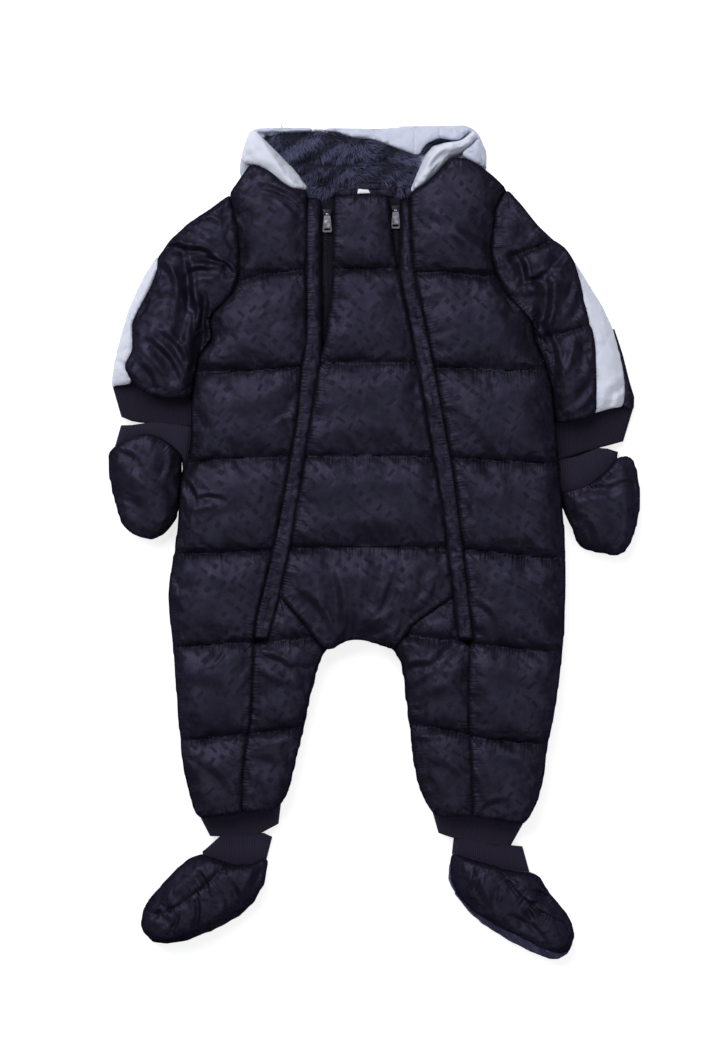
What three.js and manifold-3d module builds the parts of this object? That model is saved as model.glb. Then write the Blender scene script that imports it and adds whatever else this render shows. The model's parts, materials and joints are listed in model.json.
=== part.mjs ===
// A baby's padded, hooded snowsuit with its mittens and bootees, laid out flat on a table with the front up.
// Millimetres. +X points to the viewer's right, +Y to the hood, +Z up from the table at Z = 0.
// The origin is on the table, on the line midway between the two zips, at the height of the hips.
import * as THREE from 'three';
import { mergeVertices } from 'three/addons/utils/BufferGeometryUtils.js';
import Module from 'manifold-3d';

const wasm = await Module();
wasm.setup();

// ---------------------------------------------------------------- driving sizes
const SEAM_GAP = 0.3; // between two pieces that are sewn together
const LOOSE_GAP = 1.2; // between pieces that only lie beside each other
const BESIDE_GAP = 0.5; // between the body's edge and the sleeve, cuff or mitten that lies against it
const BACK_TOP = 12; // the padded back panels lie below this height
const FRONT_BASE = BACK_TOP + SEAM_GAP; // the front panels lie on the back ones
const SOLE_TOP = 14;
const RIM = 2; // thickness of a pad at its outer edge
const EDGE_REACH = 22; // how far in from an outer edge a pad rounds over
const SEAM_REACH = 14; // how far in from a seam or a quilting line it dips
const SEAM_DIP = 0.42; // share of its height that it loses at a seam
const CROWN = { // how high each kind of piece stands above its base
  body: 25, leg: 23, sleeve: 21, flap: 15, tape: 7, hood: 20, hoodSide: 12, fur: 15, hand: 18, foot: 24,
    rib: 11,
  stripeLeft: 13, stripeRight: 15, sleeveBack: 6, facing: 8, tuckedFleece: 12 };
const REACH = { // how far in from an outer edge each smaller piece rounds over
  sleeve: 14, flap: 4, bandLeft: 12, bandRight: 10, hoodSide: 10, hoodTop: 5, fur: 8, rib: 7, stripeLeft: 12,
  stripeRight: 16, sleeveBack: 6, tuckedFleece: 4 };

// ---------------------------------------------------------------- colours
const material = (name, color, roughness, metalness = 0) => new THREE.MeshStandardMaterial({
  name, color, roughness, metalness });
const navySatin = material('navy_satin', 0x1d1b2b, 0.45);
const greyCloth = material('grey_cloth', 0xd3d5e2, 0.75);
const ribKnit = material('rib_knit', 0x1b1a29, 0.95);
const fleece = material('fleece', 0x343a57, 1);
const zipTape = material('zip_tape', 0x17161f, 0.8);
const zipMetal = material('zip_metal', 0x8e8f98, 0.4, 0.9);
const labelCloth = material('label_cloth', 0xf0f0f2, 0.6);

// ---------------------------------------------------------------- tables of edges
// A row for each bend of an edge, from the hood down. table() gives each number its column's name.
function table(columns, rows) {
  const names = columns.split(' ');
  return rows.map((row) => Object.fromEntries(names.map((name, i) => [name, row[i]])));
}

// Armhole, side seam and outer edge of the leg
const LEFT_SIDE = table('y x', [
  [323, -121], [314, -120], [305, -118], [295, -114.5], [267, -112.5], [244, -113.5], [233, -117],
  [227, -121],
  [222, -130], [216, -138], [209, -140.5], [202, -140.5], [188, -136], [184, -146], [170, -150],
  [151, -153.5],
  [132, -156], [81, -157], [70, -164.5], [40, -167.5], [16, -169], [-12, -173], [-35, -177], [-53, -178.5],
  [-91, -174], [-128, -171], [-165, -168.5], [-202, -165], [-221, -161.5], [-239, -156.5], [-252, -152.5],
  [-256, -147]]);
const RIGHT_SIDE = table('y x', [
  [327, 136], [318, 130], [309, 126.5], [298, 125], [270, 122], [258, 124], [247, 128], [235, 132],
  [228, 139.5],
  [221, 149], [210, 159], [202, 160], [188, 162], [168, 171], [156, 175], [144, 178], [119, 180.5], [88, 183],
  [40, 187], [2, 190.5], [-35, 191], [-91, 189], [-128, 185], [-146, 182], [-165, 179.5], [-184, 175],
  [-202, 172],
  [-221, 170], [-230, 168], [-249, 161.5], [-261, 152]]);

// Outer seam of each zip flap, and below the flap the seam down the front of the leg
const LEFT_SEAM = table('y x', [
  [326, -50], [188, -50.5], [151, -56], [114, -59], [77, -65], [40, -72], [2, -79], [-35, -88], [-72, -97],
  [-91, -98.5], [-128, -99.5], [-165, -101], [-202, -108], [-250, -110]]);
const RIGHT_SEAM = table('y x', [
  [323, 46.5], [291, 48], [253, 50], [216, 58], [179, 66], [142, 73.5], [105, 80], [67, 87], [30, 92],
  [-5, 96],
  [-44, 100.5], [-72, 104], [-91, 106], [-97, 102], [-128, 100.5], [-165, 100.5], [-202, 103], [-252, 105]]);

// Free edge of each flap, which is also the edge of the centre panel below the open stretch of zip
const LEFT_ZIP = table('y x', [
  [320, -36.5], [253, -36.5], [188, -35], [151, -39], [114, -45], [77, -51], [40, -56.5], [2, -63],
  [-35, -71],
  [-49, -74], [-91, -85.5]]);
const RIGHT_ZIP = table('y x', [
  [320, 38], [285, 38], [247, 36.6], [222, 41], [205, 45], [179, 50], [142, 57], [105, 63], [67, 70],
  [30, 76],
  [-5, 80.5], [-49, 86], [-91, 91]]);

// Centre panel: it leaves the tape showing at the top, and narrows to the crotch below the zips' knees
const LEFT_CENTRE = table('y x', [
  [320, -24], [253, -24.5], [225, -26], [188, -31], [166, -37], [151, -39], [114, -45], [77, -51],
  [40, -56.5],
  [2, -63], [-35, -71], [-49, -74], [-77, -50], [-100, -32]]);
const RIGHT_CENTRE = table('y x', [
  [320, 26], [300, 27.5], [281, 29], [267, 31.5], [253, 35.5], [247, 36.6], [222, 41], [205, 45], [179, 50],
  [142, 57], [105, 63], [67, 70], [30, 76], [-5, 80.5], [-49, 86], [-77, 47], [-100, 30.5]]);

// Neck and shoulder line of each side panel, from its outer end (across 0) to its inner end (across 1)
const LEFT_SHOULDER = table('across y', [
  [0, 323], [0.13, 333.5], [0.29, 350], [0.5, 344], [0.63, 336.5], [0.71, 330], [0.86, 325.5], [1, 325.5]]);
const RIGHT_SHOULDER = table('across y', [
  [0, 322.5], [0.2, 331], [0.34, 346], [0.46, 358], [0.62, 353], [0.78, 344], [0.93, 331.5], [1, 327]]);
const CROTCH = table('across y', [
  [0, -100], [0.13, -98.5], [0.33, -91.5], [0.44, -89], [0.55, -90.5], [0.78, -95], [1, -100]]);

// Quilting lines, all the way round the body and the legs
const QUILTING = [253, 166, 79.5, -5, -93, -179];
const NECK_Y = 322;
const FLAP_TOP = 320;
const FLAP_END = -91;
const HEM_Y = -250;
// Rows between two quilting lines, closer beside the stitches
const CELL_STEPS = [0.07, 0.25, 0.5, 0.75, 0.93];

function interpolate(rows, key, at, value) {
  const sign = Math.sign(rows[rows.length - 1][key] - rows[0][key]);
  const after = rows.findIndex((row) => (row[key] - at) * sign >= 0);
  if (after === 0) return rows[0][value];
  if (after < 0) return rows[rows.length - 1][value];
  const [a, b] = [rows[after - 1], rows[after]];
  return a[value] + ((b[value] - a[value]) * (at - a[key])) / (b[key] - a[key]);
}

const xAt = (edge, y) => interpolate(edge, 'y', y, 'x');

// ---------------------------------------------------------------- grids of points, seen from above
// A grid is a list of rows from head to hem, each a list of points from left to right.
const point = (x, y) => new THREE.Vector2(x, y);
const points = (...pairs) => pairs.map(([x, y]) => point(x, y));

function cellRows(from, to) {
  return [from, ...CELL_STEPS.map((share) => from + (to - from) * share)];
}

// The heights of a body panel's rows between two levels, with one on each quilting line
function bodyRows(top, bottom, extra = []) {
  const stops = [top, ...QUILTING.filter((y) => y < top - 1 && y > bottom + 1), bottom];
  const rows = stops.slice(1).flatMap((stop, i) => cellRows(stops[i], stop));
  return [...rows, bottom, ...extra].sort((a, b) => b - a);
}

// A body panel: level rows between two edges, whose first and last rows bend to the panel's own ends
function bodyGrid({ rows, left, right, columns, top, bottom, fade = 60 }) {
  const first = rows[0];
  const last = rows[rows.length - 1];
  return rows.map((level) => Array.from({ length: columns + 1 }, (_, j) => {
    const across = j / columns;
    const fromTop = Math.max(0, 1 - (first - level) / fade);
    const fromBottom = Math.max(0, 1 - (level - last) / fade);
    const rise = top ? (interpolate(top, 'across', across, 'y') - first) * fromTop : 0;
    const drop = bottom ? (interpolate(bottom, 'across', across, 'y') - last) * fromBottom : 0;
    const y = level + rise + drop;
    return point(THREE.MathUtils.lerp(xAt(left, y), xAt(right, y), across), y);
  }));
}

function resample(line, count) {
  const lengths = line.map((p, i) => (i ? p.distanceTo(line[i - 1]) : 0));
  const total = lengths.reduce((a, b) => a + b);
  return Array.from({ length: count + 1 }, (_, k) => {
    let rest = (total * k) / count;
    let i = 1;
    while (i < line.length - 1 && rest > lengths[i]) {
      rest -= lengths[i];
      i += 1;
    }
    return line[i - 1].clone().lerp(line[i], Math.min(rest / lengths[i], 1));
  });
}

// A sleeve, mitten, bootee or hood piece: rows drawn straight between two edges with a point for each row.
// The curves of its first and last rows fade into the straight ones between them.
function spanGrid({ left, right, columns, first, last, firstFade = 1, lastFade = 1 }) {
  const end = left.length - 1;
  const bow = (curve, a, b, j) => (curve ? curve[j].clone().sub(a.clone().lerp(b, j / columns)) : point(0,
    0));
  const start = first && (first.length === columns + 1 ? first : resample(first, columns));
  const finish = last && (last.length === columns + 1 ? last : resample(last, columns));
  return left.map((from, i) => Array.from({ length: columns + 1 }, (_, j) => {
    const down = i / end;
    const startBow = bow(start, left[0], right[0], j).multiplyScalar(Math.max(0, 1 - down / firstFade));
    const finishBow = bow(finish, left[end], right[end],
      j).multiplyScalar(Math.max(0, 1 - (1 - down) / lastFade));
    return from.clone().lerp(right[i], j / columns).add(startBow).add(finishBow);
  }));
}

// The same grid with a row midway between each two rows, so that a pad's crown is rounder
function doubled(grid) {
  return grid.flatMap((row, i) => (i === 0 ? [row] : [row.map((p, j) => p.clone().lerp(grid[i - 1][j],
    0.5)), row]));
}

const column = (grid, j) => grid.map((row) => row[j < 0 ? row.length + j : j]);

// The closed line round a grid, anticlockwise or clockwise, as grid places
function rimPlaces(grid) {
  const m = grid.length - 1;
  const n = grid[0].length - 1;
  const places = [];
  for (let i = 0; i < m; i += 1) places.push([i, 0]);
  for (let j = 0; j < n; j += 1) places.push([m, j]);
  for (let i = m; i > 0; i -= 1) places.push([i, n]);
  for (let j = n; j > 0; j -= 1) places.push([0, j]);
  return places;
}

// Moves a closed line inwards, at right angles to itself
function inset(loop, by) {
  const inward = THREE.ShapeUtils.isClockWise(loop) ? -1 : 1;
  return loop.map((p, i) => {
    const before = loop[(i + loop.length - 1) % loop.length];
    const after = loop[(i + 1) % loop.length];
    const a = p.clone().sub(before).normalize();
    const b = after.clone().sub(p).normalize();
    const normal = point(-a.y - b.y, a.x + b.x).multiplyScalar(inward);
    const corner = Math.max(0.5, Math.sqrt((1 + a.dot(b)) / 2));
    return p.clone().add(normal.normalize().multiplyScalar(by / corner));
  });
}

// ---------------------------------------------------------------- solids
function solidFrom(vertices, faces) {
  const geometry = new THREE.BufferGeometry();
  geometry.setAttribute('position', new THREE.Float32BufferAttribute(vertices.flatMap((v) => [v.x, v.y,
    v.z]), 3));
  geometry.setIndex(faces.flat());
  geometry.computeVertexNormals();
  return geometry;
}

const roundOver = (distance, reach) => Math.sqrt(1 - (1 - Math.min(distance / reach, 1)) ** 2);
const dipBeside = (distance, reach) => 1 - SEAM_DIP * (1 - Math.min(distance / reach, 1)) ** 2;

// A pad's height above its base at each place of its grid. Each side is an outer 'edge', a 'seam' or 'open'.
function padHeights(grid, { crown, sides, quilting = [], rim = RIM, reach = EDGE_REACH }) {
  const last = grid.length - 1;
  const wide = grid[0].length - 1;
  const share = (kind, distance) => ({
    edge: roundOver(distance, reach), seam: dipBeside(distance, SEAM_REACH), open: 1,
  }[kind]);
  return grid.map((row, i) => row.map((p, j) => {
    let full = share(sides.left, p.distanceTo(row[0])) * share(sides.right, p.distanceTo(row[wide]));
    full *= share(sides.start, p.distanceTo(grid[0][j])) * share(sides.end, p.distanceTo(grid[last][j]));
    quilting.forEach((y) => {
      full *= dipBeside(Math.abs(p.y - y), SEAM_REACH);
    });
    return rim + (crown - rim) * full;
  }));
}

// A closed pad: a flat base, a crowned top through the grid and a wall round its rim
function pad({ grid, base = FRONT_BASE, gap = SEAM_GAP, ...shape }) {
  const heights = padHeights(grid, shape);
  const places = rimPlaces(grid);
  const drawnIn = inset(places.map(([i, j]) => grid[i][j]), gap / 2);
  const plan = grid.map((row) => row.map((p) => p.clone()));
  places.forEach(([i, j], k) => plan[i][j].copy(drawnIn[k]));
  const wide = grid[0].length;
  const vertices = plan.flatMap((row, i) => row.map((p, j) => new THREE.Vector3(p.x, p.y,
    base + heights[i][j])));
  const under = vertices.length;
  drawnIn.forEach((p) => vertices.push(new THREE.Vector3(p.x, p.y, base)));
  const top = [];
  for (let i = 0; i < grid.length - 1; i += 1) {
    for (let j = 0; j < wide - 1; j += 1) {
      const a = i * wide + j;
      top.push([a, a + wide, a + 1], [a + 1, a + wide, a + wide + 1]);
    }
  }
  const wall = places.flatMap(([i, j], k) => {
    const next = (k + 1) % places.length;
    const [p, q] = [i * wide + j, places[next][0] * wide + places[next][1]];
    return [[p, under + k, q], [q, under + k, under + next]];
  });
  const clockwise = THREE.ShapeUtils.isClockWise(drawnIn);
  const baseFaces = THREE.ShapeUtils.triangulateShape(drawnIn, []).map((face) => {
    const [a, b, c] = face.map((k) => under + k);
    const area = new THREE.Triangle(vertices[a], vertices[b], vertices[c]).getNormal(new THREE.Vector3()).z;
    return area > 0 ? [a, c, b] : [a, b, c];
  });
  const upper = [...top, ...wall].map(([a, b, c]) => (clockwise ? [a, c, b] : [a, b, c]));
  return solidFrom(vertices, [...upper, ...baseFaces]);
}

// A closed slab through rings: the same outline at several heights, drawn in by each ring's own amount
function slab(outline, rings) {
  const loop = THREE.ShapeUtils.isClockWise(outline) ? [...outline].reverse() : outline;
  const count = loop.length;
  const loops = rings.map((ring) => inset(loop, ring.in));
  const vertices = loops.flatMap((line, r) => line.map((p) => new THREE.Vector3(p.x, p.y, rings[r].z)));
  const walls = rings.slice(1).flatMap((_, r) => loop.flatMap((__, k) => {
    const next = (k + 1) % count;
    const [a, b] = [r * count + k, r * count + next];
    return [[a, b, a + count], [b, b + count, a + count]];
  }));
  const top = (rings.length - 1) * count;
  const caps = THREE.ShapeUtils.triangulateShape(loop, []);
  const bottomCap = caps.map(([a, b, c]) => [a, c, b]);
  const topCap = caps.map((face) => face.map((k) => k + top));
  return solidFrom(vertices, [...walls, ...bottomCap, ...topCap]);
}

const backRings = (top = BACK_TOP) => table('z in', [[0, 5], [3, 1.8], [top * 0.6, 0.3],
  [top, SEAM_GAP / 2]]);

function toManifold(geometry) {
  const bare = geometry.clone();
  bare.deleteAttribute('normal');
  bare.deleteAttribute('uv');
  const merged = mergeVertices(bare, 1e-4);
  return new wasm.Manifold(new wasm.Mesh({
    numProp: 3,
    vertProperties: new Float32Array(merged.attributes.position.array),
    triVerts: new Uint32Array(merged.index.array),
  }));
}

function fromManifold(solid) {
  const mesh = solid.getMesh();
  const geometry = new THREE.BufferGeometry();
  geometry.setAttribute('position', new THREE.BufferAttribute(new Float32Array(mesh.vertProperties), 3));
  geometry.setIndex(new THREE.BufferAttribute(new Uint32Array(mesh.triVerts), 1));
  geometry.computeVertexNormals();
  return geometry;
}

// ---------------------------------------------------------------- the garment
const garment = new THREE.Group();
garment.name = 'snowsuit';

function add(name, geometry, look) {
  const mesh = new THREE.Mesh(geometry, look);
  mesh.name = name;
  garment.add(mesh);
  return mesh;
}

// ---------------------------------------------------------------- body and legs
const sideRows = bodyRows(NECK_Y, HEM_Y, [FLAP_END, -97]);
const flapRows = [FLAP_TOP, ...sideRows.filter((y) => y < FLAP_TOP - 4 && y > FLAP_END + 1), FLAP_END];
const centreRows = [FLAP_TOP, ...sideRows.filter((y) => y < FLAP_TOP - 4 && y > -40), -49, -63, -77, -88,
  -100];
const HEM_LEFT_SIDE = table('across y', [[0, -254.5], [1, -250]]);
const HEM_RIGHT_SIDE = table('across y', [[0, -252.5], [1, -260.5]]);

const leftSide = bodyGrid({
  rows: sideRows, left: LEFT_SIDE, right: LEFT_SEAM, columns: 7, top: LEFT_SHOULDER, bottom: HEM_LEFT_SIDE });
const rightSide = bodyGrid({
  rows: sideRows, left: RIGHT_SEAM, right: RIGHT_SIDE, columns: 7, top: RIGHT_SHOULDER,
    bottom: HEM_RIGHT_SIDE });
const centre = bodyGrid({ rows: centreRows, left: LEFT_CENTRE, right: RIGHT_CENTRE, columns: 8,
  bottom: CROTCH });
const leftFlap = bodyGrid({ rows: flapRows, left: LEFT_SEAM, right: LEFT_ZIP, columns: 2 });
const rightFlap = bodyGrid({ rows: flapRows, left: RIGHT_ZIP, right: RIGHT_SEAM, columns: 2 });
const tapeRows = (end) => flapRows.filter((y) => y > end);
const leftTape = bodyGrid({ rows: tapeRows(187), left: LEFT_ZIP, right: LEFT_CENTRE, columns: 2 });
const rightTape = bodyGrid({ rows: tapeRows(255), left: RIGHT_CENTRE, right: RIGHT_ZIP, columns: 2 });

const bodySides = { left: 'edge', right: 'seam', start: 'seam', end: 'seam' };
const quiltedBody = { crown: CROWN.body, quilting: QUILTING };
add('front_side_left', pad({ grid: leftSide, sides: bodySides, ...quiltedBody }), navySatin);
add('front_side_right', pad({ grid: rightSide, sides: { ...bodySides, left: 'seam', right: 'edge' },
  ...quiltedBody }),
  navySatin);
add('front_centre', pad({
  grid: centre, sides: { left: 'seam', right: 'seam', start: 'seam', end: 'edge' }, crown: CROWN.body,
  quilting: QUILTING.slice(0, 4) }), navySatin);
const flapShape = { sides: { left: 'open', right: 'open', start: 'edge', end: 'edge' }, crown: CROWN.flap,
  reach: REACH.flap };
add('zip_flap_left', pad({ grid: leftFlap, ...flapShape }), navySatin);
add('zip_flap_right', pad({ grid: rightFlap, ...flapShape }), navySatin);
const tapeShape = { sides: { left: 'open', right: 'open', start: 'open', end: 'open' }, crown: CROWN.tape };
add('zip_tape_left', pad({ grid: leftTape, ...tapeShape }), zipTape);
add('zip_tape_right', pad({ grid: rightTape, ...tapeShape }), zipTape);

// Inner leg panels: from the seam that runs from the zip to the crotch, down to the ankle
const legRows = sideRows.filter((y) => y < -98);
function innerLeg({ zip, seam, bar, inseam, hem }) {
  const seamSide = [point(xAt(zip, -49), -49), point(xAt(zip, -70), -70), point(xAt(zip, -91), -91), bar,
    ...legRows.map((y) => point(xAt(seam, y), y))];
  seamSide[seamSide.length - 1].y = hem;
  const inseamSide = seamSide.map((_, i) => {
    const y = inseam[0].y + (inseam[inseam.length - 1].y - inseam[0].y) * (i / (seamSide.length - 1)) ** 1.25;
    return point(xAt(inseam, y), y);
  });
  return { seamSide, inseamSide };
}
const LEFT_INSEAM = table('y x', [
  [-100, -32], [-109, -37], [-128, -43], [-146, -47], [-165, -51], [-184, -55], [-202, -60], [-221, -64],
  [-232, -67], [-245, -75]]);
const RIGHT_INSEAM = table('y x', [
  [-100, 30.5], [-109, 38], [-128, 41], [-146, 43], [-165, 45.5], [-184, 48], [-202, 50], [-221, 53],
  [-236, 58],
  [-252.5, 69]]);
const leftLeg = innerLeg({ zip: LEFT_ZIP, seam: LEFT_SEAM, bar: point(-98.5, -94), inseam: LEFT_INSEAM,
  hem: -250 });
const rightLeg = innerLeg({ zip: RIGHT_ZIP, seam: RIGHT_SEAM, bar: point(102, -97), inseam: RIGHT_INSEAM,
  hem: -252.5 });
const leftInner = spanGrid({
  left: leftLeg.seamSide, right: leftLeg.inseamSide, columns: 6, firstFade: 0.3,
  first: points([-74, -49], [-66, -58.33], [-58, -67.67], [-50, -77], [-44, -84.67], [-38, -92.33],
    [-32, -100]) });
const rightInner = spanGrid({
  left: rightLeg.inseamSide, right: rightLeg.seamSide, columns: 6, firstFade: 0.3,
  first: points([30.5, -100], [36, -92.33], [41.5, -84.67], [47, -77], [60, -67.67], [73, -58.33],
    [86, -49]) });
const innerShape = { crown: CROWN.leg, quilting: QUILTING.slice(4) };
add('inner_leg_left', pad({
  grid: leftInner, sides: { left: 'seam', right: 'edge', start: 'seam', end: 'seam' }, ...innerShape }),
    navySatin);
add('inner_leg_right', pad({
  grid: rightInner, sides: { left: 'edge', right: 'seam', start: 'seam', end: 'seam' }, ...innerShape }),
    navySatin);

// Back panels: one for the body and one for each leg, under the front ones
const atOrAbove = (line, y) => line.filter((p) => p.y >= y);
const below = (line, y) => line.filter((p) => p.y < y);
const SEAT_Y = -88; // the back's seam across the seat
const NECK_LINE = points([52, 332], [46.5, 333.5], [-45, 333.5],
  [-51, 330]); // the seam between the back and the hood
add('back_body', slab([
  ...atOrAbove(column(leftSide, 0), SEAT_Y), point(xAt(LEFT_SIDE, SEAT_Y), SEAT_Y),
  point(xAt(RIGHT_SIDE, SEAT_Y), SEAT_Y), ...atOrAbove(column(rightSide, -1), SEAT_Y).reverse(),
  ...rightSide[0].slice(1, -1).reverse(), ...NECK_LINE, ...leftSide[0].slice(1, -1).reverse(),
], backRings()), navySatin);
add('back_leg_left', slab([
  ...points([-6, SEAT_Y - 0.5], [xAt(LEFT_SIDE, SEAT_Y), SEAT_Y - 0.5]),
    ...below(column(leftSide, 0), SEAT_Y - 2),
  ...leftInner[leftInner.length - 1], ...column(leftInner, -1).slice(0, -1).reverse(),
    ...points([-28, -96], [-14, -90.5]),
], backRings()), navySatin);
add('back_leg_right', slab([
  ...points([xAt(RIGHT_SIDE, SEAT_Y), SEAT_Y - 0.5], [-4, SEAT_Y - 0.5], [4, -91], [18, -93.5]),
  ...column(rightInner, 0), ...rightInner[rightInner.length - 1].slice(1),
  ...below(column(rightSide, -1), SEAT_Y - 2).reverse(),
], backRings()), navySatin);

// ---------------------------------------------------------------- sleeves
// Each row crosses the sleeve: the stripe's seam, the height of the edge beside the body, the stripe's outer
// edge and the back panel's
const ARMHOLE_ROWS = 11; // rows of the side panel that the armhole crosses
const LEFT_SLEEVE = table('seam inner stripe', [
  [[-141, 308], 183], [[-158, 297], 178.5], [[-175, 282], 174], [[-187, 265], 168, [-188, 266.5]],
  [[-189, 252], 163, [-199.5, 249]], [[-195, 236], 158, [-205, 238]], [[-205, 218], 153, [-214.5, 217]],
  [[-212, 203], 149, [-219.5, 200]], [[-211, 180], 145, [-225.5, 179]], [[-219, 163], 141, [-229.5, 160]],
  [[-211, 149], 137, [-230, 145.5]]]);
const RIGHT_SLEEVE = table('seam inner stripe back', [
  [[149, 312], 183], [[163, 294], 178.5], [[177, 281], 173.5], [[190, 272], 168],
  [[198, 259], 162, [199, 261]], [[204, 237], 156, [212, 240]], [[209, 214], 148, [225.5, 219]],
  [[215, 196], 140, [235, 198], [235.7, 198.6]], [[217.5, 176], 132, [242, 174], [243.8, 173.2]],
  [[218, 150], 122, [246.5, 150], [250, 148.5]], [[218.3, 136], 116, [246.4, 138], [254.2, 135]],
  [[218.5, 121], 110.5, [246, 127], [253.8, 124.5]]]);

// What lies beside the body follows its edge
const leftEdge = column(leftSide, 0);
const rightEdge = column(rightSide, -1);
const besideLeft = (y) => point(xAt(leftEdge, y) - BESIDE_GAP, y);
const besideRight = (y) => point(xAt(rightEdge, y) + BESIDE_GAP, y);
const LEFT_CUFF_SEAM = [...points([-211, 149], [-205, 145], [-197, 138], [-186, 135], [-167, 133.5]),
  besideLeft(137)];
const RIGHT_CUFF_SEAM = [besideRight(110.5), ...points([205, 114], [218.5, 121])];

const sleeveColumn = (rows, name) => rows.filter((row) => row[name]).map((row) => point(...row[name]));
const leftArmhole = leftEdge.slice(0, ARMHOLE_ROWS);
const rightArmhole = rightEdge.slice(0, ARMHOLE_ROWS).reverse();
const leftSleeve = spanGrid({
  left: [leftArmhole[0], ...sleeveColumn(LEFT_SLEEVE, 'seam')],
  right: [leftArmhole[ARMHOLE_ROWS - 1], ...LEFT_SLEEVE.map((row) => besideLeft(row.inner))],
  columns: ARMHOLE_ROWS - 1, first: leftArmhole, last: LEFT_CUFF_SEAM, firstFade: 0.6, lastFade: 0.4 });
const rightSleeve = spanGrid({
  left: [rightArmhole[0], ...RIGHT_SLEEVE.map((row) => besideRight(row.inner))],
  right: [rightArmhole[ARMHOLE_ROWS - 1], ...sleeveColumn(RIGHT_SLEEVE, 'seam')],
  columns: ARMHOLE_ROWS - 1, first: rightArmhole, last: RIGHT_CUFF_SEAM, firstFade: 0.6, lastFade: 0.4 });
const leftStripe = spanGrid({
  left: sleeveColumn(LEFT_SLEEVE, 'stripe'), right: sleeveColumn(LEFT_SLEEVE, 'seam').slice(3), columns: 3 });
const rightStripe = spanGrid({
  left: sleeveColumn(RIGHT_SLEEVE, 'seam').slice(4), right: sleeveColumn(RIGHT_SLEEVE, 'stripe'), columns: 3,
  last: points([218.5, 121], [232.5, 126], [246, 127]), lastFade: 0.3 });
const rightSleeveBack = spanGrid({
  left: sleeveColumn(RIGHT_SLEEVE, 'stripe').slice(3), right: sleeveColumn(RIGHT_SLEEVE, 'back'),
    columns: 2 });

add('sleeve_front_left', pad({
  grid: leftSleeve, sides: { left: 'edge', right: 'edge', start: 'seam', end: 'seam' }, crown: CROWN.sleeve,
  reach: REACH.sleeve }), navySatin);
add('sleeve_front_right', pad({
  grid: rightSleeve, sides: { left: 'edge', right: 'seam', start: 'seam', end: 'seam' },
    crown: CROWN.sleeve }), navySatin);
add('sleeve_stripe_left', pad({
  grid: doubled(leftStripe), sides: { left: 'edge', right: 'open', start: 'open', end: 'seam' },
  crown: CROWN.stripeLeft, reach: REACH.stripeLeft }), greyCloth);
add('sleeve_stripe_right', pad({
  grid: doubled(rightStripe), sides: { left: 'open', right: 'edge', start: 'open', end: 'seam' },
  crown: CROWN.stripeRight, reach: REACH.stripeRight }), greyCloth);
add('sleeve_back_edge_right', pad({
  grid: rightSleeveBack, sides: { left: 'open', right: 'edge', start: 'open', end: 'open' },
  crown: CROWN.sleeveBack, reach: REACH.sleeveBack }), navySatin);

const outerSleeveLeft = [...column(leftStripe, 0)].reverse();
add('sleeve_back_left', slab([
  ...leftArmhole, ...column(leftSleeve, -1).slice(1),
    ...[...leftSleeve[leftSleeve.length - 1]].reverse().slice(1),
  ...outerSleeveLeft, ...column(leftSleeve, 0).slice(1, 4).reverse(),
], backRings()), navySatin);
add('sleeve_back_right', slab([
  ...rightArmhole, ...column(rightSleeve, -1).slice(1, 5), ...column(rightStripe, -1).slice(0, 4),
  ...column(rightSleeveBack, -1).slice(1), ...[...rightStripe[rightStripe.length - 1]].reverse().slice(1),
  ...[...rightSleeve[rightSleeve.length - 1]].reverse().slice(1),
    ...column(rightSleeve, 0).slice(1, -1).reverse(),
], backRings()), navySatin);

// ---------------------------------------------------------------- ribbed cuffs, each a flattened tube
const ribShape = { base: 0, crown: CROWN.rib, rim: 5, reach: REACH.rib };
const openEnds = { left: 'edge', right: 'edge', start: 'open', end: 'open' };
const ribGrid = (top, bottom, columns = 6) => doubled(spanGrid({
  left: [top[0], bottom[0]], right: [top[top.length - 1], bottom[bottom.length - 1]], columns, first: top,
    last: bottom }));

add('wrist_rib_left', pad({
  grid: ribGrid([point(-230, 145.5), ...LEFT_CUFF_SEAM],
    [...points([-222, 118], [-213, 114.2], [-205, 112.8], [-195, 112.3], [-186, 111.6], [-170, 110]),
      besideLeft(109)]),
  sides: openEnds, ...ribShape }), ribKnit);
const rightRibTop = [...RIGHT_CUFF_SEAM, ...points([232.5, 124.9], [246, 125.4], [253.6, 123.2])];
add('wrist_rib_right', pad({
  grid: ribGrid(rightRibTop, [besideRight(78), ...points([198, 82], [209, 86], [226, 90], [245, 95])],
    rightRibTop.length - 1),
  sides: openEnds, ...ribShape }), ribKnit);
add('ankle_rib_left', pad({
  grid: ribGrid([...leftSide[leftSide.length - 1], ...leftInner[leftInner.length - 1].slice(1)],
    points([-139.5, -273], [-127, -273], [-108, -273], [-92, -271.5], [-87, -267], [-77, -261.8])),
  sides: openEnds, ...ribShape }), ribKnit);
add('ankle_rib_right', pad({
  grid: ribGrid([...rightInner[rightInner.length - 1], ...rightSide[rightSide.length - 1].slice(1)],
    points([74, -270.3], [88, -274.9], [105, -278], [122, -281], [139.5, -283.3])),
  sides: openEnds, ...ribShape }), ribKnit);

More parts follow.
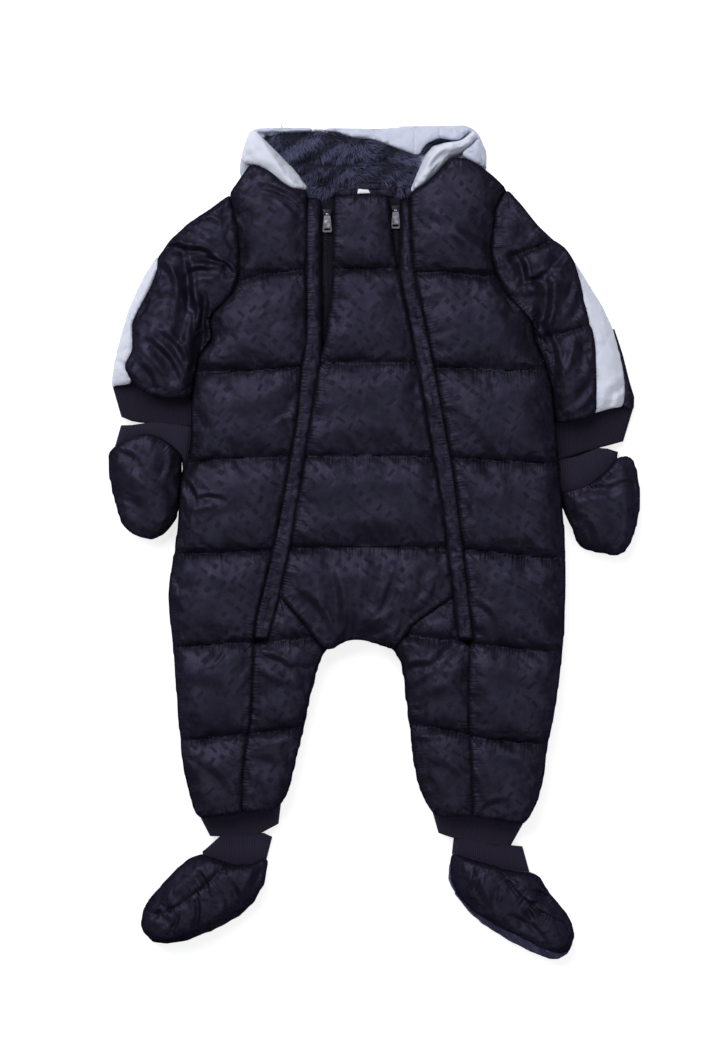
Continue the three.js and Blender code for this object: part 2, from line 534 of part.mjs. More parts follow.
// ---------------------------------------------------------------- mittens
// Each row crosses the hand, from the wrist to the fingertips
const LEFT_HAND = table('left right', [
  [[-228, 89], [-165.5, 81]], [[-234, 82], [-166.1, 72]], [[-233.5, 68], [-166.4, 60]],
  [[-232, 56], [-167.4, 48]],
  [[-229, 43], [-168.6, 36]], [[-225.5, 30], [-170.6, 24]], [[-221, 17], [-177, 14]],
  [[-212, 8.5], [-185, 6.5]]]);
const RIGHT_HAND = table('left right', [
  [[187, 47], [249, 80.5]], [[187.8, 40], [254, 76]], [[189, 31], [258, 66]], [[193.5, 21], [260, 48]],
  [[198, 12], [259.5, 28]], [[201, 4], [256, 12]], [[204, -2], [252, 1]], [[209, -6.5], [246, -9.5]]]);
const LEFT_WRIST = points([-228, 89], [-218.5, 93.5], [-202, 100], [-195, 100], [-186, 97], [-177, 91],
  [-165.5, 81]);
const RIGHT_WRIST = points([187, 47], [209, 50], [223, 61], [237, 74], [240.5, 81.5], [249, 80.5]);

function mitten(side, rows, wrist, fingertips, ribTop, ribBottom) {
  const grid = spanGrid({
    left: rows.map((row) => point(...row.left)), right: rows.map((row) => point(...row.right)), columns: 6,
    first: wrist, last: fingertips, firstFade: 0.6, lastFade: 0.5 });
  const outline = rimPlaces(grid).map(([i, j]) => grid[i][j]);
  add(`mitten_palm_${side}`, slab(outline, backRings()), navySatin);
  add(`mitten_back_${side}`, pad({
    grid: doubled(grid), sides: { left: 'edge', right: 'edge', start: 'seam', end: 'edge' },
      crown: CROWN.hand }),
  navySatin);
  add(`mitten_rib_${side}`, pad({
    grid: ribGrid(ribTop, ribBottom, Math.max(6, ribBottom.length - 1)), sides: openEnds, ...ribShape,
    gap: 0.6 }), ribKnit);
}
mitten('left', LEFT_HAND, LEFT_WRIST, points([-212, 8.5], [-203, 5.5], [-194, 3], [-185, 6.5]),
  [...points([-222.5, 108.5], [-206, 108.8], [-200, 111.5], [-186, 110.8], [-175, 109.5]), besideLeft(108)],
  [...LEFT_WRIST.slice(0, -1), point(-165.6, 80.5), besideLeft(65)]);
mitten('right', RIGHT_HAND, RIGHT_WRIST, points([209, -6.5], [221, -9], [237, -12], [246, -9.5]),
  [besideRight(76.2), ...points([204, 79.6], [218.5, 85.8], [226, 88.8], [235, 84.6], [240, 83.4])],
  [besideRight(48), ...points([209, 51], [223, 62], [236.5, 74.6], [239.8, 81.8])]);
add('mitten_fleece_right', pad({
  grid: ribGrid([besideRight(77.8), ...points([198, 81.3], [209, 85.2], [219, 88])],
    [besideRight(76.6), ...points([198, 78.5], [206, 80.9], [218, 85.8])], 4),
  sides: openEnds, base: 0, crown: CROWN.tuckedFleece, rim: 6, reach: REACH.tuckedFleece }), fleece);

// ---------------------------------------------------------------- bootees
// Each row crosses the foot, from the ankle to the toe
const LEFT_FOOT = table('left right', [
  [[-147, -291], [-87, -294]], [[-160, -295], [-88.5, -311]], [[-170, -304], [-94, -325]],
  [[-180, -315], [-103, -334]], [[-189, -324], [-114, -342]], [[-197, -334], [-128, -351]],
  [[-202, -344], [-149, -359]], [[-203, -356], [-176, -367.5]]]);
const RIGHT_FOOT = table('left right', [
  [[86, -289], [160, -307.5]], [[84, -298], [167, -311.5]], [[84.5, -312], [171.5, -319.5]],
  [[90, -326], [178, -329]], [[105, -342], [186, -338]], [[128, -356], [192, -345.5]],
  [[148, -365], [196.5, -354]],
  [[168, -375], [199, -366]]]);
const LEFT_ANKLE = points([-147, -291], [-130, -295], [-121, -300.5], [-97, -299], [-87, -294]);
const RIGHT_ANKLE = points([86, -289], [104, -295.5], [121, -299.5], [135, -305], [160, -307.5]);
const LEFT_SOLE = points([-86.5, -295], [-88, -315], [-98, -332.5], [-112, -348], [-130, -357], [-149, -366],
  [-163, -371], [-181, -374], [-194, -371.5], [-203, -360], [-202.5, -344]);
const RIGHT_SOLE = points([84, -295], [82, -312], [88, -326], [102, -344], [121, -360], [140, -371],
  [158, -381],
  [177, -388], [185, -388], [193.5, -383], [200, -366], [196.5, -352.5]);

function bootee(side, rows, ankle, toe, sole, ribTop, ribBottom) {
  const grid = spanGrid({
    left: rows.map((row) => point(...row.left)), right: rows.map((row) => point(...row.right)), columns: 6,
    first: ankle, last: toe, firstFade: 0.5, lastFade: 0.5 });
  const instep = side === 'left' ? column(grid, 0).slice(1, -1).reverse() : column(grid, -1).slice(1,
    -2).reverse();
  const top = side === 'left' ? grid[0] : [...grid[0]].reverse();
  add(`bootee_sole_${side}`, slab([...sole, ...instep, ...top], backRings(SOLE_TOP)), navySatin);
  add(`bootee_upper_${side}`, pad({
    grid: doubled(grid), base: SOLE_TOP + SEAM_GAP, crown: CROWN.foot,
    sides: { left: 'edge', right: 'edge', start: 'seam', end: 'edge' } }), navySatin);
  add(`bootee_rib_${side}`, pad({ grid: ribGrid(ribTop, ribBottom), sides: openEnds, ...ribShape,
    gap: 0.6 }), ribKnit);
}
bootee('left', LEFT_FOOT, LEFT_ANKLE, points([-203, -356], [-200, -364], [-192, -368.5], [-176, -367.5]),
  LEFT_SOLE,
  points([-129, -273.5], [-108, -273.5], [-90, -272], [-83, -276]),
  points([-146.5, -289.5], [-130, -294], [-121, -299], [-97, -298], [-87.5, -293]));
bootee('right', RIGHT_FOOT, RIGHT_ANKLE, points([168, -375], [184, -382], [194, -380], [199, -366]),
  RIGHT_SOLE,
  points([88.5, -275.2], [105, -278.2], [122, -281.2], [140, -283.5], [151, -284.5]),
  points([87, -288], [104, -294.5], [121, -298.5], [135, -304], [157, -306]));

// ---------------------------------------------------------------- hood and neck
const HOOD_OUTLINE = points([-111, 337], [-112.5, 351], [-111, 360], [-108, 370], [-104, 380], [-99, 384.5],
  [-56, 386],
  [-14, 385.5], [19, 385.5], [56, 387], [94, 388.5], [103, 386.5], [109, 382], [113.5, 375], [116.5, 367],
  [118, 356], [118.5, 346]);
const hoodLine = [...rightSide[0].slice(1, -2).reverse(), ...NECK_LINE,
  ...leftSide[0].slice(1, -1).reverse()];
add('hood_shell', slab([...HOOD_OUTLINE, ...hoodLine.map((p) => point(p.x, p.y + SEAM_GAP))], backRings()),
  greyCloth);

const FLEECE_EDGE = points([-90, 378.5], [-70, 381], [-46, 382.3], [-37, 383], [-19, 380.5], [-9, 376.5],
  [14, 374],
  [33, 366.5], [53.5, 359]); // where the fleece meets the turned-up top of the hood
const BAND_LEFT = table('left right', [
  [[-102, 383.5], [-94.5, 379.5]], [[-107, 371], [-84, 369.5]], [[-110, 361], [-74, 360]],
  [[-110.5, 353.5], [-60, 346]],
  [[-101, 352], [-45.5, 327]]]);
const BAND_RIGHT = table('left right', [
  [[105.5, 382.5], [109, 377.5]], [[93, 372.5], [102, 368]], [[79, 371.5], [91, 360]], [[67, 368], [84, 356]],
  [[60.5, 360], [77, 347]], [[56, 350], [69.5, 339.5]], [[51, 339], [63, 333]],
  [[45.8, 324.5], [50, 326.5]]]);
const pairs = (rows, name) => rows.map((row) => point(...row[name]));
const seamEnds = { left: 'open', right: 'edge', start: 'open', end: 'open' };
add('hood_band_left', pad({
  grid: doubled(spanGrid({ left: pairs(BAND_LEFT, 'left'), right: pairs(BAND_LEFT, 'right'), columns: 4,
    lastFade: 0.4,
    last: points([-101, 352], [-86, 345.5], [-76, 338], [-71, 331.5], [-60, 327], [-45.5, 327]) })),
  sides: { ...seamEnds, left: 'edge' }, crown: CROWN.hood, gap: LOOSE_GAP, reach: REACH.bandLeft }),
    greyCloth);
add('hood_band_right', pad({
  grid: doubled(spanGrid({ left: pairs(BAND_RIGHT, 'left'), right: pairs(BAND_RIGHT, 'right'), columns: 3 })),
  sides: { ...seamEnds, left: 'edge' }, crown: CROWN.hood, gap: LOOSE_GAP, reach: REACH.bandRight }),
    greyCloth);
add('hood_side_right', pad({
  grid: doubled(spanGrid({
    left: points([110.5, 376], [103, 367.5], [92, 360]),
      right: points([113.5, 372.5], [117.5, 358], [118.5, 347]), columns: 3,
    last: points([92, 360], [102, 355], [118.5, 347]), lastFade: 0.5 })),
  sides: seamEnds, crown: CROWN.hoodSide, gap: LOOSE_GAP, reach: REACH.hoodSide }), greyCloth);
add('hood_top', pad({
  grid: spanGrid({
    left: points([-99, 384.5], [-93, 381]), right: points([94, 388.5], [102, 384.5]), columns: 14,
    first: points([-99, 384.5], [-56, 386], [-14, 385.5], [19, 385.5], [56, 387], [94, 388.5]),
    last: points([-93, 381], [-70, 382], [-46, 383.2], [-37, 384], [-19, 381.5], [-9, 377.5], [14, 375],
      [33, 367.5],
      [54, 360], [57, 366], [61.5, 371.5], [72.5, 376.5], [88, 374.5], [92, 374.5], [102, 384.5]) }),
  sides: { left: 'open', right: 'open', start: 'edge', end: 'open' }, crown: CROWN.hoodSide,
    reach: REACH.hoodTop }), greyCloth);

const furShape = { sides: { left: 'edge', right: 'edge', start: 'edge', end: 'edge' }, crown: CROWN.fur,
  rim: 6, reach: REACH.fur };
const furGrid = (top, bottom, columns) => doubled(ribGrid(top, bottom, columns));
add('hood_fleece', pad({
  grid: furGrid(FLEECE_EDGE, points([-67, 355], [-30, 355], [20, 354], [53, 353]), 9), gap: LOOSE_GAP,
    ...furShape }), fleece);
add('hood_fleece_right', pad({
  grid: ribGrid(points([57, 364], [61.5, 370], [72.5, 375], [88, 373.6]),
    points([58.5, 359], [66, 368.6], [78.5, 372], [90, 373]), 4),
  ...furShape }), fleece);
add('neck_fleece', pad({
  grid: furGrid(points([-67, 354], [-30, 354], [20, 353], [54, 351]), points([-51.5, 334.3], [49.5, 334.3]),
    9),
  gap: LOOSE_GAP, ...furShape }), fleece);
add('neck_fleece_left', pad({
  grid: ribGrid(points([-51, 334], [-19, 334]), points([-43.5, 321.5], [-19, 321.5]), 3), gap: LOOSE_GAP,
    ...furShape }), fleece);
add('neck_fleece_right', pad({
  grid: ribGrid(points([34, 334], [49.5, 334]), points([34, 322], [44.5, 322.5]), 3), gap: LOOSE_GAP,
    ...furShape }), fleece);
add('neck_facing', pad({
  grid: ribGrid(points([-18.5, 333.8], [33.5, 333.8]), points([-18.5, 321], [33.5, 321]), 4),
  sides: { left: 'open', right: 'open', start: 'open', end: 'open' }, crown: CROWN.facing }), navySatin);
const LABEL_BASE = FRONT_BASE + CROWN.facing + SEAM_GAP;
const LABEL_THICK = 0.7;
add('neck_label', slab(points([-2.5, 323.5], [9.5, 324], [8, 327], [-1.5, 328]),
  table('z in', [[LABEL_BASE, 0], [LABEL_BASE + LABEL_THICK, 0]])), labelCloth);

// ---------------------------------------------------------------- zip sliders and pull tabs
const TAPE_TOP = FRONT_BASE + CROWN.tape;
const SLIDER = { wide: 8.4, long: 11, thick: 2.2, head: 5, lugX: 3, lug: 1.2, lugLong: 3, lugHigh: 3.2,
  taper: 1.2 };
const LUG_MIDDLE = -0.7; // height of a lug's middle, from the pin
const PIN_RADIUS = 0.6;
const PULL = {
  wide: 9.4, neck: 5.8, long: 16.4, thick: 1.2, slotWide: 5.6, slotLong: 2, slotFrom: 1.7, eye: 1.5,
    eyeHole: 0.95,
  eyeWide: 3.6, neckY: -2, chamfer: 1 };
const PIN_RISE = 1.9; // of the pin's middle above the slider's plate
const PIN_Z = TAPE_TOP + SEAM_GAP + SLIDER.thick + PIN_RISE; // above the table
const PULL_TILT = THREE.MathUtils.degToRad(7); // it lies back on the zip, its free end lowest
const ZIPS = table('side x pinY', [['left', -30.4, 304], ['right', 33.1, 307.5]]);

function disc(radius, wide) {
  return new THREE.CylinderGeometry(radius, radius, wide, 20).rotateZ(Math.PI / 2);
}

function box(x, y, z, atX, atY, atZ) {
  return toManifold(new THREE.BoxGeometry(x, y, z).translate(atX, atY, atZ));
}

// The slider's pin is at its own origin, and the zip runs along Y
function sliderSolid() {
  const [half, tail] = [SLIDER.wide / 2, SLIDER.head - SLIDER.long];
  const shoulder = SLIDER.head - 1.5;
  const outline = new THREE.Shape(points([-half, shoulder], [SLIDER.taper - half, tail],
    [half - SLIDER.taper, tail],
    [half, shoulder], [half - 1.5, SLIDER.head], [1.5 - half, SLIDER.head]));
  const floor = -PIN_RISE - SLIDER.thick;
  const plate = new THREE.ExtrudeGeometry(outline, { depth: SLIDER.thick,
    bevelEnabled: false }).translate(0, 0, floor);
  const lugs = [-1, 1].map((way) => box(SLIDER.lug, SLIDER.lugLong, SLIDER.lugHigh, way * SLIDER.lugX, 0,
    LUG_MIDDLE));
  return fromManifold(lugs.reduce((body, lug) => body.add(lug), toManifold(plate))
    .add(toManifold(disc(PIN_RADIUS, 2 * SLIDER.lugX))));
}

// The pull tab hangs from its own origin along -Y
function pullSolid() {
  const [half, end] = [PULL.wide / 2, -PULL.long];
  const { chamfer, neckY } = PULL;
  const outline = new THREE.Shape(points([-PULL.neck / 2, neckY], [-half, end + chamfer],
    [chamfer - half, end],
    [half - chamfer, end], [half, end + chamfer], [PULL.neck / 2, neckY]));
  const [slotX, slotY] = [PULL.slotWide / 2, end + PULL.slotFrom];
  const slot = new THREE.Path(points([-slotX, slotY], [slotX, slotY], [slotX, slotY + PULL.slotLong],
    [-slotX, slotY + PULL.slotLong]).reverse());
  outline.holes.push(slot);
  const plate = new THREE.ExtrudeGeometry(outline, { depth: PULL.thick, bevelEnabled: false }).translate(0,
    0, -PULL.thick / 2);
  return fromManifold(toManifold(plate)
    .add(box(PULL.eyeWide, 2.4, PULL.thick, 0, -1.4, 0))
    .add(toManifold(disc(PULL.eye, PULL.eyeWide)))
    .subtract(toManifold(disc(PULL.eyeHole, PULL.wide))));
}

ZIPS.forEach(({ side, x, pinY }) => {
  const slider = add(`zip_slider_${side}`, sliderSolid(), zipMetal);
  slider.position.set(x, pinY, PIN_Z);
  const pull = add(`pull_tab_${side}`, pullSolid(), zipMetal);
  pull.position.set(x, pinY, PIN_Z);
  pull.rotation.x = PULL_TILT;
});

export default garment;
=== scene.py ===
# A baby's padded, hooded snowsuit laid out flat with its mittens and bootees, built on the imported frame.
import json
import math

import bmesh
import bpy
import numpy as np
from bpy.props import FloatProperty, FloatVectorProperty, IntProperty, PointerProperty
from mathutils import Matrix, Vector
from mathutils.bvhtree import BVHTree

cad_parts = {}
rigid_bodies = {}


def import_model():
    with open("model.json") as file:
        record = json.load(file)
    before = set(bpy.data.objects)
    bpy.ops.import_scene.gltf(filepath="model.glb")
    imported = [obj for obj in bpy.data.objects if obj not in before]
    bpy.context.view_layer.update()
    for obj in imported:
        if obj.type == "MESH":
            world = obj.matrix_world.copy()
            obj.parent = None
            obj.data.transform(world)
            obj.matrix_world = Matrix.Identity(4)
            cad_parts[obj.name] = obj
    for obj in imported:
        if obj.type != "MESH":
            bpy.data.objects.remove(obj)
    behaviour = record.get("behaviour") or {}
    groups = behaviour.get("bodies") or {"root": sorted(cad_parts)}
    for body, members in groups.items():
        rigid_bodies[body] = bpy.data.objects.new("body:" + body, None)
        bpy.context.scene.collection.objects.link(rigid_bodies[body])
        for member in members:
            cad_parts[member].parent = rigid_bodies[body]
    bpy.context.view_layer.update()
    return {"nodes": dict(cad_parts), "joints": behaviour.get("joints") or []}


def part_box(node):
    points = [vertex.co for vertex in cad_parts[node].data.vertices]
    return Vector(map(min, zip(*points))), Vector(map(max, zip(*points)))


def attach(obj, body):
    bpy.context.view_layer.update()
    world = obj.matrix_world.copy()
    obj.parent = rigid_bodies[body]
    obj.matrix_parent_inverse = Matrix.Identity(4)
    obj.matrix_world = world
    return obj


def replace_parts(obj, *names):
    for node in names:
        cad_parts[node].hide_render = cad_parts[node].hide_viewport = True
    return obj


bl_info = {
    "name": "Padded Snowsuit",
    "version": (1, 0, 0),
    "blender": (4, 5, 0),
    "location": "View3D > Sidebar > Snowsuit",
    "description": "Dresses the packed snowsuit: quilted satin, fleece, ribs, zips, stripes and the studio",
    "category": "Object",
}

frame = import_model()
GARMENT = "garment"
MM = 0.001

SAME_PLACE = 2e-5  # points nearer to each other than this are one point
ON_IT = 1e-5  # a point this near a plane lies on it

# The level quilting lines across the body and legs, up from the origin, and the plain solids' dip beside them
QUILTING = [0.253, 0.166, 0.0795, -0.005, -0.093, -0.179]
QUILT_DIP = 0.42
QUILT_DIP_REACH = 0.014

# Padded pieces: cloth this near an edge or a quilting line is held by the seam while it swells
EDGE_HELD = 0.0016
LINE_HELD = 0.0014
SEAM_GROOVE = 0.0011  # how far a quilting seam is sunk
PUCKER_REACH = 0.006  # how far the gathers run out from a seam
SKIN_FROM = 0.0025  # a pad's skin starts this far above its base
SHOULDER_FROM = 0.40  # share of a pad's height from which its edge is squared
SHOULDER_RISE = 0.3  # share of its height over which that comes in
SHOULDER_WIDE = 0.0026  # how far in from the edge it reaches
WALL_HEIGHT = 0.003  # gathers and folds start this far up a pad's wall
WALL_BLEND = 0.004  # and come in over this height
UNEVENNESS = 0.00012  # what keeps the cloth from swelling too evenly
HEADROOM = 0.003  # how far over its form the cloth may swell

# Rib cuffs: points across one rib, rows along the cuff, how wide its folded sides round off, and how much
# further than its open side a cuff reaches towards the body
RIB_POINTS = 6
RIB_ROWS = 14
RIB_FOLD = 0.007
BODY_REACH = 2.8
# Down a cuff's wall: share of its height, and how far in. The groove half way down parts its two layers.
RIB_GROOVE = (0.5, 0.0018)
RIB_WALL = ((0.8, -0.0004), (0.6, -0.0002), RIB_GROOVE, (0.4, -0.0001), (0.2, 0.0), (0.0, 0.0016))

# Fleece: points round a tuft, and at each of its levels the share of its length, its radius in millimetres
# and how much it has bent over. The backing is painted as dark as the roots, as the shade under the pile.
TUFT_SIDES = 3
TUFT_LEVELS = ((0.0, 0.50, 0.0), (0.4, 0.42, 0.25), (0.75, 0.28, 0.75), (1.0, 0.04, 1.3))
BACKING_SHADE = 0.1

BACK_HALF = 200  # lines that reach this many millimetres to each side cross the whole back
BESIDE_MITTENS = (0.045, 0.135)  # the stretch of the back's height that lies beside the mittens and wrists
SMALL_VOXEL = 0.0022  # spacing of the mesh for the small padded pieces
UPWARDS = np.array([0, 0, 1.0])

# One turn of a coil: width, length and thickness, how far off the middle it sits, and how it slants
TOOTH = (0.00085, 0.0030, 0.0012)
TOOTH_OFF = 0.0009
TOOTH_SLANT = 0.28

STITCH_DROP = 0.06  # height from which the stitches are dropped onto the cloth
STITCH_STEP = 0.002  # no stitch is laid where the cloth under it steps by more than this
STITCH_SHARE = 0.72  # share of its pitch that a stitch is long
STITCH_WIDE = 0.00055
STITCH_THICK = 0.0006

# Where each kind of piece starts its run of seeds for the random draws
SEEDS = {"panel": 11, "back": 60, "sleeve_back": 70, "rib": 90, "palm": 110, "sole": 120, "hood": 130,
         "fleece": 140, "tape": 150}


# ------------------------------------------------------------------ small tools
def tool_object(name):
    """The object that bpy.ops has just added, renamed."""
    obj = bpy.context.object
    obj.name = name
    obj.data.name = name
    return obj


def only(obj):
    """Makes obj the one selected and active object."""
    bpy.ops.object.select_all(action="DESELECT")
    obj.select_set(True)
    bpy.context.view_layer.objects.active = obj


def apply_all(obj):
    only(obj)
    for modifier in list(obj.modifiers):
        bpy.ops.object.modifier_apply(modifier=modifier.name)


def coordinates(mesh):
    co = np.empty(len(mesh.vertices) * 3)
    mesh.vertices.foreach_get("co", co)
    return co.reshape(-1, 3)


def set_coordinates(mesh, co):
    mesh.vertices.foreach_set("co", np.ascontiguousarray(co, dtype=np.float32).ravel())
    mesh.update()


def normals_of(mesh):
    normals = np.empty(len(mesh.vertices) * 3)
    mesh.vertices.foreach_get("normal", normals)
    return normals.reshape(-1, 3)


def linked(name, data):
    """A new object of the scene that holds some data."""
    obj = bpy.data.objects.new(name, data)
    bpy.context.scene.collection.objects.link(obj)
    return obj


def mesh_object(name, vertices, faces):
    mesh = bpy.data.meshes.new(name)
    mesh.from_pydata(vertices, [], faces)
    mesh.update()
    return linked(name, mesh)


def merged_form(node):
    """A closed form of a CAD node, its doubled points merged."""
    bm = bmesh.new()
    bm.from_mesh(frame["nodes"][node].data)
    bmesh.ops.remove_doubles(bm, verts=bm.verts, dist=SAME_PLACE)
    return bm


def merged_copy(node, name):
    """A closed mesh of a CAD node as a new object."""
    bm = merged_form(node)
    mesh = bpy.data.meshes.new(name)
    bm.to_mesh(mesh)
    bm.free()
    return linked(name, mesh)


def remeshed(obj, voxel):
    modifier = obj.modifiers.new("remesh", "REMESH")
    modifier.mode = "VOXEL"
    modifier.voxel_size = voxel
    modifier.use_smooth_shade = True
    apply_all(obj)
    return obj


def smoothed(obj, factor, repeat):
    modifier = obj.modifiers.new("smooth", "SMOOTH")
    modifier.factor = factor
    modifier.iterations = repeat
    apply_all(obj)
    return obj


def finished(obj, material, slot, nodes=()):
    """Gives a piece its material, its body and the CAD nodes that it stands for."""
    obj.data.materials.clear()
    obj.data.materials.append(material)
    for polygon in obj.data.polygons:
        polygon.use_smooth = True
    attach(obj, GARMENT)
    if nodes:
        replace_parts(obj, *nodes)
    return obj


# ------------------------------------------------------------------ outlines and distances
def outline(node, high=False):
    """The closed line round a node's flat base, or round its flat top, as points seen from above."""
    bm = merged_form(node)
    bm.normal_update()
    level = (max if high else min)(v.co.z for v in bm.verts)

    def flat(face):
        return abs(face.normal.z) > 0.999 and all(abs(v.co.z - level) < SAME_PLACE for v in face.verts)

    rim = [e for e in bm.edges if len(e.link_faces) == 2 and flat(e.link_faces[0]) != flat(e.link_faces[1])]
    following = {}
    for edge in rim:
        for a, b in (edge.verts, reversed(edge.verts)):
            following.setdefault(a.index, []).append(b.index)
    start = rim[0].verts[0].index
    loop, before, now = [start], None, start
    while True:
        step = [i for i in following[now] if i != before]
        before, now = now, step[0]
        if now == start:
            break
        loop.append(now)
    bm.verts.ensure_lookup_table()
    points = np.array([bm.verts[i].co[:2] for i in loop])
    bm.free()
    return points


def to_line(points, line, closed=True):
    """For each point, its distance to a line and how far along the line the nearest place is."""
    a = line if closed else line[:-1]
    b = np.roll(line, -1, axis=0) if closed else line[1:]
    d = b - a
    lengths = np.hypot(d[:, 0], d[:, 1])
    starts = np.concatenate([[0], np.cumsum(lengths)[:-1]])
    best = np.full(len(points), np.inf)
    along = np.zeros(len(points))
    for k in range(len(a)):
        if lengths[k] < 1e-7:
            continue
        t = np.clip(((points - a[k]) @ d[k]) / lengths[k] ** 2, 0, 1)
        gap = points - a[k] - t[:, None] * d[k]
        away = np.hypot(gap[:, 0], gap[:, 1])
        nearer = away < best
        best[nearer] = away[nearer]
        along[nearer] = starts[k] + t[nearer] * lengths[k]
    return best, along


def ripple(u, pitch, seed):
    """Smooth uneven waves along u, about one for each pitch, between -1 and 1."""
    size, start = 4096, 500
    table = np.random.default_rng(seed).uniform(-1, 1, size)
    place = u / pitch + start
    cell = np.floor(place).astype(int)
    t = place - cell
    t = t * t * (3 - 2 * t)
    return table[cell % size] * (1 - t) + table[(cell + 1) % size] * t


def puckers(away, along, depth, reach, seed, coarse=1.0):
    """Ridges that run out at right angles from a line of stitches, longer and shorter, and a little askew."""
    lean = ripple(along, 0.04, seed + 7) * 0.6
    u = along + lean * away
    long_ones = ripple(u, 0.0096 * coarse, seed) * np.exp(-away / (1.5 * reach))
    short_ones = ripple(u, 0.0052 * coarse, seed + 3) * np.exp(-away / (0.7 * reach))
    return depth * (long_ones + short_ones) * (1 - np.exp(-away / 0.0012))


def number_of(obj, name, values):
    """Stores a number for each point of the mesh, for its material to read."""
    attribute = obj.data.attributes.new(name, "FLOAT", "POINT")
    attribute.data.foreach_set("value", np.ascontiguousarray(values, dtype=np.float32))


def mark_seams(obj, seams, reach=0.0040):
    """Says for each point how near a seam it is and how far along it, from pairs of distance and place."""
    away, run = seams[0]
    for other, place in seams[1:]:
        run = np.where(other < away, place, run)
        away = np.minimum(away, other)
    number_of(obj, "seam", np.exp(-away / reach))
    number_of(obj, "run", run)


def widened(obj, edge, push, reach=0.005):
    """Moves the rim outwards, by what rounding took off it and a little more, so that neighbours meet."""
    co = coordinates(obj.data)
    co[:, :2] += normals_of(obj.data)[:, :2] * (push * np.clip(1 - edge / reach, 0, 1))[:, None]
    set_coordinates(obj.data, co)


# ------------------------------------------------------------------ padded pieces
def cut_away(obj, low, height, down=True):
    """Removes the hidden flat side of a remeshed pad, at its base or at its top."""
    way = -1 if down else 1
    near = 0.002
    bm = bmesh.new()
    bm.from_mesh(obj.data)
    bm.normal_update()
    level = low if down else low + height
    hidden = [f for f in bm.faces
              if f.normal.z * way > 0.8 and abs(f.calc_center_median().z - level) < near]
    bmesh.ops.delete(bm, geom=hidden, context="FACES")
    for edge in bm.edges:
        if edge.is_boundary:
            for vertex in edge.verts:
                vertex.co.z = level
    bm.to_mesh(obj.data)
    bm.free()


def close_up(obj):
    """Closes the open side again with a flat face, so that the pad is one closed skin."""
    bm = bmesh.new()
    bm.from_mesh(obj.data)
    rims = [edge for edge in bm.edges if edge.is_boundary]
    made = bmesh.ops.holes_fill(bm, edges=rims, sides=0)["faces"]
    for face in made:
        face.smooth = False
    bmesh.ops.triangulate(bm, faces=made)
    bmesh.ops.recalc_face_normals(bm, faces=bm.faces)
    bm.to_mesh(obj.data)
    bm.free()


def quilt_dip(away, depth, width):
    """Share of its height that a pad keeps beside a quilting line."""
    return 1 - depth * np.exp(-away / width)


def level_dip(y):
    """The share that the plain solids keep beside their level quilting lines."""
    share = np.ones(len(y))
    for line in QUILTING:
        share *= 1 - QUILT_DIP * (1 - np.minimum(np.abs(y - line) / QUILT_DIP_REACH, 1)) ** 2
    return share


def from_lines(points, lines):
    """Distance to the nearest of several open lines, given in millimetres, and the place along it."""
    away = np.full(len(points), 1.0)
    along = np.zeros(len(points))
    for k, line in enumerate(lines):
        gap, place = to_line(points, np.array(line, dtype=float) * MM, closed=False)
        nearer = gap < away
        away[nearer] = gap[nearer]
        along[nearer] = place[nearer] + 0.9 * k
    return away, along


def inflate(obj, pinned, settings, stretch, cap, upto):
    """Lets the cloth swell between its pinned seams, and keeps each point within cap of where it was."""
    rest = coordinates(obj.data)
    group = obj.vertex_groups.new(name="pins")
    group.add(np.nonzero(pinned)[0].tolist(), 1.0, "REPLACE")
    modifier = obj.modifiers.new("cloth", "CLOTH")
    cloth = modifier.settings
    cloth.quality = 4
    cloth.mass = 0.1
    cloth.tension_stiffness = 15
    cloth.compression_stiffness = 15
    cloth.shear_stiffness = 5
    cloth.bending_stiffness = settings.bending
    cloth.use_pressure = True
    cloth.uniform_pressure_force = settings.pressure
    cloth.shrink_min = -stretch
    cloth.vertex_group_mass = "pins"
    cloth.effector_weights.gravity = 0
    modifier.collision_settings.use_collision = False
    modifier.collision_settings.use_self_collision = False
    modifier.point_cache.frame_start = 1
    modifier.point_cache.frame_end = settings.frames
    for step in range(1, settings.frames + 1):
        bpy.context.scene.frame_set(step)
    only(obj)
    bpy.ops.object.modifier_apply(modifier=modifier.name)
    bpy.context.scene.frame_set(1)
    obj.vertex_groups.clear()
    moved = coordinates(obj.data) - rest
    far = np.linalg.norm(moved, axis=1)
    moved *= np.minimum(1, cap / np.maximum(far, 1e-9))[:, None]
    settled = rest + moved
    settled[:, 2] = np.minimum(settled[:, 2], upto)
    set_coordinates(obj.data, settled)


def flat_uv(obj, rest, turn=0.0):
    """A UV map in metres of the cut cloth, turned to the piece's own grain."""
    cos, sin = math.cos(math.radians(turn)), math.sin(math.radians(turn))
    flat = np.stack([rest[:, 0] * cos + rest[:, 1] * sin, rest[:, 1] * cos - rest[:, 0] * sin], axis=1)
    layer = obj.data.uv_layers.get("cloth") or obj.data.uv_layers.new(name="cloth")
    corners = np.empty(len(obj.data.loops), dtype=np.int32)
    obj.data.loops.foreach_get("vertex_index", corners)
    layer.data.foreach_set("uv", flat[corners].astype(np.float32).ravel())


